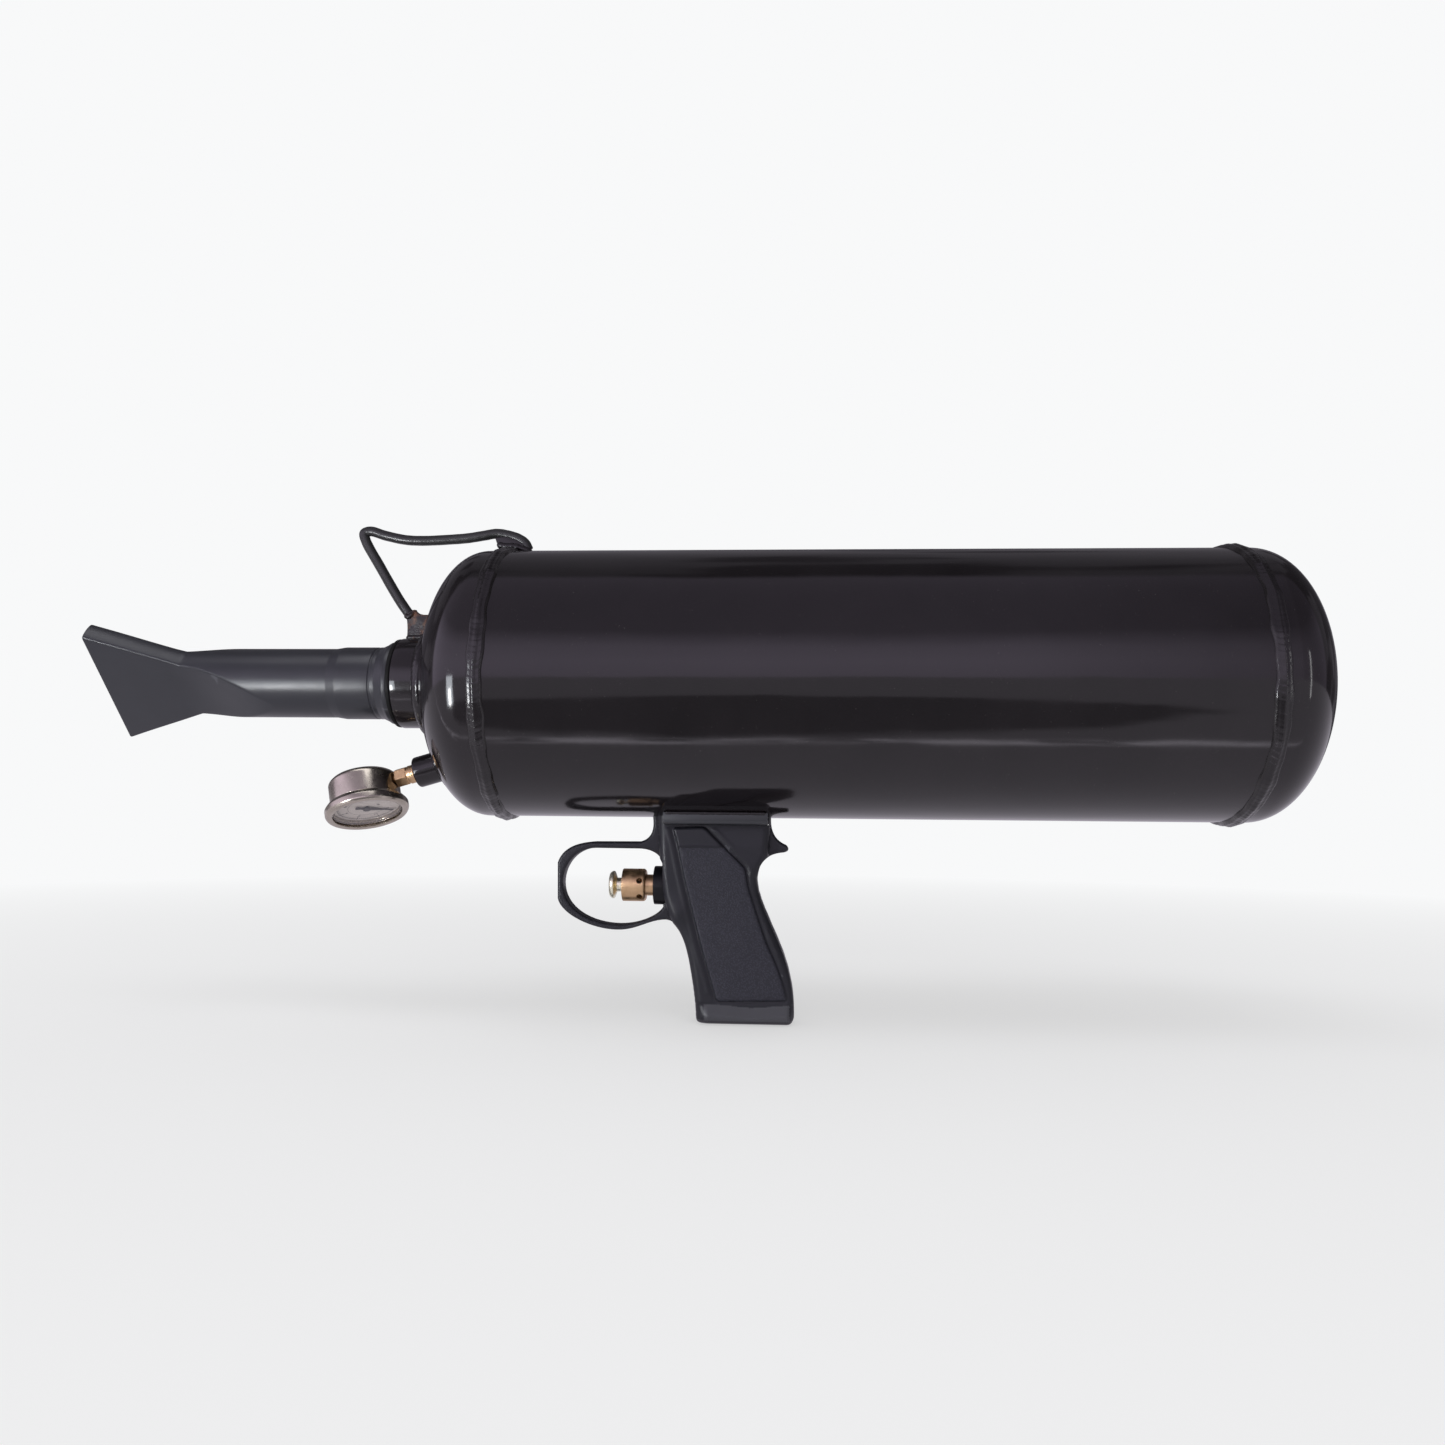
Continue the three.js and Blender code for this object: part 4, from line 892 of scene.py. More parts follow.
def build_barrel():
    outer = softened([(-245.5, 19.4), (-246, 19.9), (-266.4, 19.9), (-266.4, 23.8), (-268.8, 23.8),
                      (-270.6, 22.6), (-274.4, 20.9), (-276.6, 20.9), (-276.9, 20.5), (-277.7, 20.5),
                      (-278, 20.9),
                      (-297, 20.9), (-302.5, 20.0), (FAN_START, 20.0)], 0.5, closed=False)
    rings = [barrel_ring(x, r, r, r) for x, r in dense(outer, 6)]
    mouth = FAN_MOUTH
    for x in np.concatenate([np.linspace(FAN_START, mouth + 4.5, 72)[1:], mouth + np.linspace(4.0, 1.2, 8)]):
        width, thick = fan_size(x)
        skew = FAN_SKEW * smooth_step((FAN_FLARE - x) / 40)
        rings.append(barrel_ring(x, TUBE_RADIUS, width - corner_back(x), thick, skew))
    lip = 0.8
    for angle in np.linspace(0, math.pi / 2, 6)[1:]:
        x = mouth + lip * (1 - math.sin(angle))
        width, thick = fan_size(x)
        back = lip * (1 - math.cos(angle))
        rings.append(barrel_ring(x, TUBE_RADIUS, width - corner_back(x) - back, thick - back, FAN_SKEW))
    bore = TUBE_RADIUS - TUBE_WALL

    def hollow(x, skew):
        width, thick = fan_size(x)
        return barrel_ring(x, bore, max(bore, width - corner_back(x) - TUBE_WALL), thick - 2.4, skew, 0.4)

    for x in np.linspace(mouth, FAN_START - 1, 40):
        rings.append(hollow(x, FAN_SKEW * smooth_step((FAN_FLARE - x) / 40)))
    for x in np.linspace(FAN_START, -245.5, 16):
        rings.append(barrel_ring(x, bore, bore, bore))
    vertices = np.concatenate(rings)
    barrel = piece("nozzle_barrel", (vertices, torus_faces(len(rings), len(rings[0]))), barrel_plastic,
                   sharp=28)
    barrel.data.materials.append(rim_plastic)
    for face in barrel.data.polygons:
        if face.normal.x < -0.3 and (face.center.x - CENTRE[0]) / MM < mouth + 4:
            face.material_index = 1
    turned("barrel_seal", "x", sleeve(20.4, 25.6, -266.1, -263.7), rubber, sides=128, soften=0.8)


def smooth_step(t):
    t = min(1.0, max(0.0, t))
    return t * t * (3 - 2 * t)


# ---------------------------------------------------------------- carrying handle
def build_handle():
    bends = [(-192.4, 78.5), (-194.6, 82.6), (-198.6, 85.4), (-205.6, 87.6), (-211.6, 88.4), (-219, 87.3),
             (-228, 85.9), (-238, 85.1), (-256, 84.4), (-266, 85), (-278, 87.6), (-287, 90.2), (-290.6, 88.9),
             (-289.6, 84.5), (-280.6, 69.2), (-267.9, 48.6), (-260.5, 38.5)]
    path = smooth_path([(x, 0, z) for x, z in bends], 12)
    dents = 2.9 + 0.02 * np.sin(np.arange(len(path)) * 0.8)
    dents[0] *= 0.8
    bar = swept(path, dents, 28)
    handle = piece("front_handle", bar, handle_paint, sharp=50)
    lug = Pen(-262, 26.6).line(-251.2, 26.6).line(-250.6, 28.6).line(-247.6, 31.4).line(-244.6, 33.2)
    lug.line(-241.6, 43.5).quad(-252, 36.5, -258.5, 43, 12).line(-263.2, 41).quad(-261.4, 34, -262, 26.6, 8)
    added(handle, softened_plate(lug.array()[:-1], 3.6, 0.8), scorched, sharp=40)
    for lead in (1, -1):
        toe = [(-262.2, 3.0 * lead, 26.4), (-257, 3.6 * lead, 26.3), (-251.5, 3.8 * lead, 26.9),
               (-247.8, 3.9 * lead, 30.4), (-244.3, 3.8 * lead, 33.6), (-242.2, 3.2 * lead, 40.5)]
        added(handle, weld_run(smooth_path(toe, 14), 1.7), scorched, sharp=60)
    side_run = [(-263.6, -2.2, 40), (-261.5, -3.2, 38.6), (-259, -2.8, 40.5), (-257.5, -1, 42.6)]
    added(handle, weld_run(smooth_path(side_run, 10), 1.6), scorched, sharp=60)
    for lead in (1, -1):
        heel = [(-190.6, 1.2 * lead, 77.2), (-193.5, 2.9 * lead, 77.8), (-199, 3.2 * lead, 79.6),
                (-206, 2.9 * lead, 80.2), (-210.6, 1.4 * lead, 81.4)]
        added(handle, weld_run(smooth_path(heel, 12), 2.1), bead_paint, sharp=60)
    fill = Pen(-192.8, 77).line(-206.5, 77.4).quad(-210.6, 79.5, -212, 85.8)
    fill.line(-205.6, 86.5).line(-198.6, 84.4).line(-194.6, 81.6)
    added(handle, softened_plate(fill.array(), 2.5, 0.8), bead_paint, sharp=60)


def softened_plate(outline, half, bevel):
    """A plate in the middle plane with rounded edges."""
    plate = bpy.data.objects.new("plate", solid_mesh("plate", *extruded(outline, -half, half)))
    bpy.context.collection.objects.link(plate)
    bevelled(plate, bevel, 3)
    vertices = (np.array([v.co for v in plate.data.vertices]) - CENTRE) / MM
    faces = [list(p.vertices) for p in plate.data.polygons]
    bpy.data.objects.remove(plate, do_unlink=True)
    return vertices, faces


# ---------------------------------------------------------------- pressure gauge
DIAL_START, DIAL_SWEEP, DIAL_STEPS = 45.0, 270.0, 12
DIAL_FRONT = -12.2
NEEDLE_Z = -13.4


def bar_mark(angle, inner, outer, width):
    """A printed tick across the dial."""
    outline = [(inner, -width / 2), (outer, -width / 2), (outer, width / 2), (inner, width / 2)]
    return spun(extruded(outline, DIAL_FRONT - 0.05, DIAL_FRONT + 0.02, "z"), "z", angle)


def arc_mark(inner, outer, first, last, steps=60):
    angles = np.radians(np.linspace(first, last, steps))
    ring = [(outer * math.cos(a), outer * math.sin(a)) for a in angles]
    ring += [(inner * math.cos(a), inner * math.sin(a)) for a in angles[::-1]]
    return extruded(ring, DIAL_FRONT - 0.05, DIAL_FRONT + 0.02, "z")


def figure(text, x, y, height):
    """A numeral printed on the dial, upright when the stem points down."""
    curve = bpy.data.curves.new("figure", "FONT")
    curve.body, curve.size, curve.extrude = text, height, 0.03
    curve.align_x = curve.align_y = "CENTER"
    letters = bpy.data.objects.new("figure", curve)
    bpy.context.collection.objects.link(letters)
    bpy.context.view_layer.update()
    mesh = bpy.data.meshes.new_from_object(letters)
    points = np.array([v.co for v in mesh.vertices])
    faces = [list(p.vertices) for p in mesh.polygons]
    bpy.data.objects.remove(letters, do_unlink=True)
    placed = np.stack([x - points[:, 1], y - points[:, 0], DIAL_FRONT - 0.02 - points[:, 2]], axis=1)
    return placed, faces


def build_gauge():
    place = GAUGE_PLACE
    inner = GAUGE_RADIUS - 0.8
    shell = [(6, 0), (6, GAUGE_RADIUS - 2.4), (3.6, GAUGE_RADIUS), (-9, GAUGE_RADIUS),
             (-9.3, GAUGE_RADIUS - 0.3), (-13.8, GAUGE_RADIUS - 0.3), (-13.8, inner - 0.3),
             (3.4, inner - 0.3), (5.2, inner - 2.2), (5.2, 0)]
    case = turned("gauge_case", "z", shell, chrome, place=place, sides=144, soften=1.2, steps=6)
    cut_by(case, rod("x", 3.4, 15, 25), place=place)
    stem = [(6, 1.2), (6, 3), (20.2, 3), (20.2, 5.6), (26.6, 5.6), (26.6, 4.7), (27.6, 4.7), (27.6, 5.3),
            (42, 5.3), (42, 1.2)]
    socket = turned("gauge_socket", "x", dense(stem, 2.2), brass_x, place=place, sides=96, soften=0.3,
                    hex_part=(20.2, 26.6, 9.8))
    added(socket, box_shape(-4, 7, -5, 5, -4, 4), place=place)
    sweep = np.radians(np.linspace(38, 288, 90))
    arc = np.stack([13.5 * np.cos(sweep), 13.5 * np.sin(sweep), 0 * sweep], axis=1)
    piece("gauge_bourdon_tube", swept(arc, 1.7, 20, flatten=0.6), movement_brass, place=place)
    plate = turned("gauge_movement", "z", sleeve(1.3, 7, -9.4, -8.4), movement_brass, place=place,
                   soften=0.25)
    for side in (-1, 1):
        post = [(-9.8, 0), (-9.8, 1.6), (-9.2, 1.6), (-9.2, 1.1), (-4.4, 1.1), (-4.4, 0)]
        added(plate, moved(revolved("z", post, sides=32, soften=0.15), 2, 3.4 * side), place=place)
    dial = turned("gauge_dial", "z", sleeve(1.5, 18.4, DIAL_FRONT, -11.4), dial_face, place=place, sides=128,
                  soften=0.15)
    marks = [arc_mark(16.1, 16.35, DIAL_START, DIAL_START + DIAL_SWEEP),
             arc_mark(10.4, 10.55, DIAL_START, DIAL_START + DIAL_SWEEP)]
    for i in range(DIAL_STEPS * 5 + 1):
        angle = DIAL_START + DIAL_SWEEP * i / (DIAL_STEPS * 5)
        major = i % 10 == 0
        marks.append(bar_mark(angle, 13.9 if major else 15.1, 17.2 if major else 16.3,
                              0.42 if major else 0.18))
    for i in range(0, DIAL_STEPS + 1, 2):
        angle = math.radians(DIAL_START + DIAL_SWEEP * i / DIAL_STEPS)
        marks.append(figure(str(i), 12.2 * math.cos(angle), 12.2 * math.sin(angle), 3.0))
    marks.append(figure("bar", 6.6, 0, 2.2))
    for mark in marks:
        added(dial, mark, dial_ink, place=place)
    blade = [(-6.6, -1.0), (-5.8, -1.4), (-3.2, -0.7), (0, -1.5), (15.5, -0.2), (15.5, 0.2),
             (0, 1.5), (-3.2, 0.7), (-5.8, 1.4), (-6.6, 1.0)]
    pointer = spun(extruded(softened(blade, 0.4), NEEDLE_Z, NEEDLE_Z + 0.5, "z"), "z", DIAL_START)
    needle = piece("gauge_needle", pointer, pointer_paint, "gauge_needle_body", place=place)
    hub = [(NEEDLE_Z - 0.5, 0), (NEEDLE_Z - 0.5, 2.2), (NEEDLE_Z + 0.3, 2.4), (NEEDLE_Z + 0.3, 0.9),
           (-7.2, 0.9), (-7.2, 0)]
    added(needle, revolved("z", hub, sides=48, soften=0.2), place=place)
    lens = [(-16.0, 0), (-15.95, 12), (-15.7, 20.6), (-14, 20.6), (-14, 0)]
    turned("gauge_lens", "z", lens, glass, place=place, sides=128, soften=0.3)
    rim = [(-9.6, 19.9), (-9.6, 21.2), (-11.6, BEZEL_RADIUS - 0.4), (-12.2, BEZEL_RADIUS),
           (-15.2, BEZEL_RADIUS), (GAUGE_FRONT + 0.3, 22.2), (GAUGE_FRONT, 21.4), (GAUGE_FRONT, 19.7),
           (-16.3, 18.9), (-16.3, 20.9),
           (-13.5, 20.9), (-13.5, 19.9)]
    turned("gauge_bezel", "z", rim, chrome, place=place, sides=160, soften=0.6, steps=5)
    boss = [(31.9, 5.6), (31.9, GAUGE_BOSS_RADIUS), (54, GAUGE_BOSS_RADIUS), (54, 5.6)]
    collar = turned("gauge_boss", "x", dense(boss, 6), paint, place=place, sides=96, soften=1.8, steps=5)
    for radius, bead in ((GAUGE_BOSS_RADIUS + 0.6, 3.0), (GAUGE_BOSS_RADIUS + 2.6, 2.4)):
        added(collar, weld_run(dome_foot(place, radius), bead, pitch=2.4), bead_paint, sharp=70)


# ---------------------------------------------------------------- pistol grip
def distance_to(points, outline, closed=True):
    """Shortest distance from each point to an outline's sides."""
    ends = np.roll(outline, -1, axis=0) if closed else outline[1:]
    starts = outline if closed else outline[:-1]
    best = np.full(len(points), np.inf)
    for a, b in zip(starts, ends):
        run = b - a
        length = run @ run
        if length < 1e-12:
            continue
        t = np.clip((points - a) @ run / length, 0, 1)
        best = np.minimum(best, np.linalg.norm(points - a - t[:, None] * run, axis=1))
    return best


def inside(points, outline):
    """True for points within an outline."""
    x, z = points[:, 0], points[:, 1]
    result = np.zeros(len(points), bool)
    for (x0, z0), (x1, z1) in zip(outline, np.roll(outline, -1, axis=0)):
        crosses = (z0 > z) != (z1 > z)
        with np.errstate(divide="ignore", invalid="ignore"):
            at = x0 + (z - z0) * (x1 - x0) / (z1 - z0)
        result ^= crosses & (x < at)
    return result


def signed(points, outline):
    """Distance to the outline, positive inside it."""
    away = distance_to(points, outline)
    return np.where(inside(points, outline), away, -away)


def grip_foot(p):
    """Draws the run that the frame and the handle share: down the front, round the foot, up the back."""
    p.quad(-91.2, -174, -90.9, -185, 10).quad(-90.9, GRIP_BASE, -87.5, GRIP_BASE, 6).line(-40.5, GRIP_BASE)
    p.quad(-36.9, GRIP_BASE, -36.9, -183, 6).quad(-36.5, -166, -44.3, -147, 14)
    return p.cubic(-53, -127, -58, -118, -57.6, -109, 14)


def frame_outline():
    p = Pen(-117, -73).line(-116.6, -76.4).quad(-115, -88, -124, -89.8, 12)
    p.line(-149.5, -90).quad(-167, -91, -170.4, -102, 14).line(-170, -122)
    p.cubic(-168, -131, -150, -139, -136.1, -139, 16).cubic(-125, -139.3, -118, -133, -108.5, -133, 12)
    grip_foot(p.quad(-99, -134, -95.2, -153.9, 14))
    p.quad(-56.5, -96, -43, -95, 14).quad(-38.6, -94, -41.5, -91, 8)
    p.quad(-50.5, -87.5, -50.2, -76.4, 12).line(-50.2, -73)
    return p.array()


def guard_opening():
    p = Pen(-110.2, -101.5).quad(-114, -93.8, -124.3, -93.7, 12).line(-148.3, -93.6)
    p.cubic(-160, -93.6, -167.2, -103, -167.2, -113.2, 16).cubic(-167, -128, -151, -136, -135, -136, 16)
    p.cubic(-124, -136, -114, -131.5, -110.2, -126, 14)
    return p.array()


def handle_outline():
    p = Pen(-113.6, -70).line(-112, -100).quad(-110.5, -124, -104, -134.5, 14)
    grip_foot(p.quad(-98.4, -140, -95.2, -153.9, 12)).line(-51.5, -97).line(-50, -70)
    return p.array()


def panel_outline():
    corners = [(-104.7, -81.8), (-87, -81.1), (-64.2, -103.3), (-62.4, -114.2), (-58.5, -126), (-53, -142.1),
               (-46.9, -155.5), (-43, -166.1), (-40.8, -175.1), (-79.4, -175.9), (-82.8, -164.1),
               (-88.5, -145.4),
               (-94.2, -123.8), (-97.7, -110.3), (-101.8, -91.7)]
    return np.array(softened(corners, 2.2, steps=4))


def cavity_outline():
    p = Pen(-108.6, -84).line(-108.4, -101)
    p.quad(-106.5, -124, -100.8, -133.5, 8).quad(-94.6, -142, -91.8, -156, 8)
    p.line(-87.6, -184.2).line(-40.8, -184.2).quad(-40.3, -166, -48, -148.5, 8)
    p.cubic(-57, -128, -61.5, -118, -61, -106, 8).line(-54.8, -95).line(-54.8, -84)
    return p.array()


GUARD_HALF, FRAME_HALF, PANEL_HALF = 5.5, 13.0, 14.7


def edge_fall(depth, radius):
    """How far a rounded edge has fallen at a distance in from it."""
    d = np.clip(depth, 0, radius)
    return radius - np.sqrt(np.clip(radius**2 - (radius - d) ** 2, 0, None))


def foot_arch(x, z):
    """How far a point lies below the arched edge of the grip's foot."""
    return -177.0 - z - 1.6 * np.exp(-(((x + 60) / 13) ** 2))


def grip_height(points, outer, opening, handle, panel):
    """Half-thickness of the grip at each point of its side view."""
    rim = np.minimum(distance_to(points, outer), distance_to(points, opening))
    guard = GUARD_HALF - edge_fall(rim, 1.5)
    body = signed(points, handle)
    x, z = points[:, 0], points[:, 1]
    swell = 1.3 * np.exp(-(((x + 100.5) / 5.5) ** 2 + ((z + 128) / 6.5) ** 2))
    frame_half = FRAME_HALF + swell - 0.9 * np.clip((z + 92) / 12, 0, 1)
    arch = foot_arch(x, z)
    foot = FOOT_DEPTH * np.clip(arch / 6, 0, 1) * np.clip((x + 89) / 5, 0, 1) * np.clip((-37.5 - x) / 3, 0, 1)
    lip = 0.5 * np.clip((-185.9 - z) / 0.4, 0, 1)
    frame = frame_half - 0.5 * np.clip(arch / 0.6, 0, 1) + foot - lip - edge_fall(np.clip(body, 0, None), 4.4)
    height = np.where(body > 0, np.maximum(guard, frame), guard)
    cover = signed(points, panel)
    gutter = 0.4 * np.exp(-((cover + 0.7) / 0.8) ** 2)
    ridge = 0.35 * np.exp(-((cover + 3.2) / 0.9) ** 2)
    height = height + ridge * (body > 2.5) * (z < -82) * (z > -172)
    raised = PANEL_HALF - edge_fall(np.clip(cover, 0, None), 1.7) - 0.03 * np.abs(x + 75) ** 1.2 * 0.3
    groove = (0.3 * np.exp(-((z + 92.9) / 0.5) ** 2) - 0.3 * np.exp(-((z + 91.9) / 0.5) ** 2)) * (cover > 0.8)
    height = np.where(cover > 0, np.maximum(height, raised - groove), height - gutter * (body > 1))
    return height


def offset_points(outline, distance, spacing=0.9):
    """Points beside an outline, on its inner side."""
    ring = np.vstack([outline, outline[:1]])
    lengths = np.concatenate([[0], np.cumsum(np.linalg.norm(np.diff(ring, axis=0), axis=1))])
    at = np.arange(0, lengths[-1], spacing)
    base = np.stack([np.interp(at, lengths, ring[:, k]) for k in range(2)], axis=1)
    ahead = np.stack([np.interp((at + 0.2) % lengths[-1], lengths, ring[:, k]) for k in range(2)], axis=1)
    run = ahead - base
    run /= np.linalg.norm(run, axis=1)[:, None] + 1e-9
    area = 0.5 * np.sum(outline[:, 0] * np.roll(outline[:, 1], -1)
                        - np.roll(outline[:, 0], -1) * outline[:, 1])
    normal = np.stack([-run[:, 1], run[:, 0]], axis=1) * (1 if area > 0 else -1)
    return base + normal * distance


def grip_half_shape():
    """One moulded half before its hollows are cut: a skin over the side view, flat at the parting plane."""
    outer, opening = frame_outline(), guard_opening()
    handle, panel = handle_outline(), panel_outline()
    along, up = np.arange(-171, -36, SKIN_STEP), np.arange(-189, -73, SKIN_STEP * 0.87)
    xs, zs = np.meshgrid(along, up, indexing="ij")
    xs = xs + (np.arange(xs.shape[1]) % 2) * SKIN_STEP / 2
    fill = [np.stack([xs.ravel(), zs.ravel()], axis=1)]
    for depth in (0.12, 0.4, 0.9, 1.5):
        fill += [offset_points(outer, depth), offset_points(opening, -depth)]
    for depth in (-0.05, 0.05, 0.3, 0.8, 1.6, 2.8, 4.4):
        fill.append(offset_points(handle, depth))
    for depth in (-1.2, -0.8, -0.45, -0.1, 0.02, 0.2, 0.55, 1.1):
        fill.append(offset_points(panel, depth, 0.8))
    cloud = np.concatenate(fill)
    rim = np.minimum(distance_to(cloud, outer), distance_to(cloud, opening))
    cloud = cloud[inside(cloud, outer) & ~inside(cloud, opening) & (rim > 0.1)]
    rng = np.random.default_rng(7)
    key = np.round(cloud / 0.09).astype(int)
    _, first = np.unique(key, axis=0, return_index=True)
    cloud = cloud[np.sort(first)]
    points = np.vstack([outer, opening, cloud])
    n, m = len(outer), len(opening)
    edges = [(i, (i + 1) % n) for i in range(n)] + [(n + i, n + (i + 1) % m) for i in range(m)]
    result = delaunay_2d_cdt([Vector(p) for p in points], edges, [], 0, 1e-5)
    flat = np.array([(v.x, v.y) for v in result[0]])
    centres = np.array([flat[list(f)].mean(axis=0) for f in result[2]])
    kept = inside(centres, outer) & ~inside(centres, opening)
    triangles = [tuple(f) for f, keep in zip(result[2], kept) if keep]
    height = grip_height(flat, outer, opening, handle, panel)
    grain = signed(flat, panel) > 1.2
    height = height + np.where(grain, rng.normal(0, GRAIN_DEPTH, len(flat)), 0)
    count = len(flat)
    top = np.stack([flat[:, 0], height, flat[:, 1]], axis=1)
    back = np.stack([flat[:, 0], np.full(count, GRIP_SPLIT), flat[:, 1]], axis=1)
    faces = triangles + [tuple(i + count for i in f[::-1]) for f in triangles]
    counts = {}
    for f in triangles:
        for a, b in zip(f, f[1:] + f[:1]):
            counts[(a, b)] = 1
    for a, b in list(counts):
        if (b, a) not in counts:
            faces.append((b, a, a + count, b + count))
    return (np.vstack([top, back]), faces), panel


def build_grip():
    (vertices, faces), panel = grip_half_shape()
    cavity = extruded(cavity_outline(), -10.6, 10.6)
    opening = box_shape(-99, -56.5, -10.6, 10.6, -86, -76)
    pocket = box_shape(CHANNEL_FRONT - 0.3, CHANNEL_BACK + 0.3, -30, 30, CHANNEL_BOTTOM - 0.3, -60)
    socket_hole = rod("x", 11.05, -118, -100, (0, 0, TRIGGER_Z))
    clearance = rod("x", TANK_RADIUS + 0.05, -130, -30, sides=TANK_SIDES)
    for name, side in (("grip_near", -1), ("grip_far", 1)):
        flipped = vertices * np.array((1, side, 1))
        obj = piece(name, (flipped, faces), grip_plastic, sharp=40)
        paint_panel(obj, panel)
        cut_by(obj, cavity, opening)
        for key, (x, z) in GRIP_SCREWS.items():
            inner = GRIP_SPLIT if key == "lower" else 2.4
            boss = rod("y", 4.6, min(side * inner, side * 13), max(side * inner, side * 13), (x, 0, z), 40)
            cut_by(obj, boss, operation="UNION")
        holes = [rod("y", 2.2, -12.2, 20, (x, 0, z), 40) for x, z in GRIP_SCREWS.values()]
        holes += [rod("y", 4.3, 11.6, 20, (x, 0, z), 48) for x, z in GRIP_SCREWS.values()]
        cut_by(obj, *holes, pocket, socket_hole, clearance, sharp=40)


def paint_panel(obj, panel):
    """Gives the raised panel its pebbled finish and the sloping foot a lighter plastic, a painted highlight
    where light falls on that facet.
    """
    obj.data.materials.append(panel_plastic)
    obj.data.materials.append(lit_foot_plastic)
    mesh = obj.data
    centres = np.zeros(len(mesh.polygons) * 3)
    mesh.polygons.foreach_get("center", centres)
    centres = (centres.reshape(-1, 3) - CENTRE) / MM
    flat = centres[:, [0, 2]]
    outward = np.abs(centres[:, 1]) > 9
    on_panel = (signed(flat, panel) > 0.35) & outward & (flat[:, 1] < -92.8)
    # The sloping foot's faces take the lighter plastic: painted highlight.
    on_foot = (foot_arch(flat[:, 0], flat[:, 1]) > 0.5) & outward & (flat[:, 1] > FOOT_LOW)
    on_foot &= (flat[:, 0] > FOOT_FRONT) & (flat[:, 0] < FOOT_BACK)
    mesh.polygons.foreach_set("material_index", on_panel + 2 * on_foot)


def build_bracket():
    c, t = CHANNEL_HALF, 2.5
    outside = [(-c, -68), (-c, CHANNEL_BOTTOM), (c, CHANNEL_BOTTOM), (c, -68)]
    within = [(c - t, -68), (c - t, CHANNEL_BOTTOM + t), (-c + t, CHANNEL_BOTTOM + t), (-c + t, -68)]
    outline = softened(outside, 3.0, closed=False, steps=8) + softened(within, 1.0, closed=False, steps=6)
    channel = extruded(np.array(outline), CHANNEL_FRONT, CHANNEL_BACK, "x")
    obj = piece("grip_bracket", channel, bracket_paint)
    tang = box_shape(-80, -66, -2, 2, -142, CHANNEL_BOTTOM + 0.5)
    cut_by(obj, tang, operation="UNION")
    holes = [rod("y", 2.4, -4, 4, (x, 0, z), 40) for x, z in (GRIP_SCREWS["top"], GRIP_SCREWS["middle"])]
    clearance = rod("x", TANK_RADIUS + 0.25, -120, -40, sides=TANK_SIDES)
    cut_by(obj, clearance, rod("z", 9, -82, -74, (PILOT_X, 0, 0), 64), *holes)
    bevelled(obj, 0.35, 2, 40)
    smooth(obj, 35)
    rise = -math.sqrt(TANK_RADIUS**2 - (c - 0.4) ** 2)
    for side in (-1, 1):
        run = [(CHANNEL_FRONT + 1, side * (c + 0.2), rise - 0.7),
               (CHANNEL_BACK - 1, side * (c + 0.2), rise - 0.7)]
        added(obj, weld_run(run, 0.9, lump=0.03), bead_paint, sharp=70)


def build_screws():
    for key, (x, z) in GRIP_SCREWS.items():
        shank = [(-11.6, 0), (-11.6, 1.1), (-10.6, 1.9), (11.9, 1.9), (11.9, 3.9), (13.2, 3.7), (14.2, 2.6),
                 (14.4, 0)]
        screw = piece("grip_screw_" + key, moved(revolved("y", shank, sides=64, soften=0.3), x, 0, z), zinc)
        turn = {"top": 20, "middle": 64, "lower": 41}[key]
        slots = [box_shape(-2.4, 2.4, 13.1, 16, -0.45, 0.45), box_shape(-0.45, 0.45, 13.1, 16, -2.4, 2.4)]
        cut_by(screw, *(moved(spun(slot, "y", turn), x, 0, z) for slot in slots))


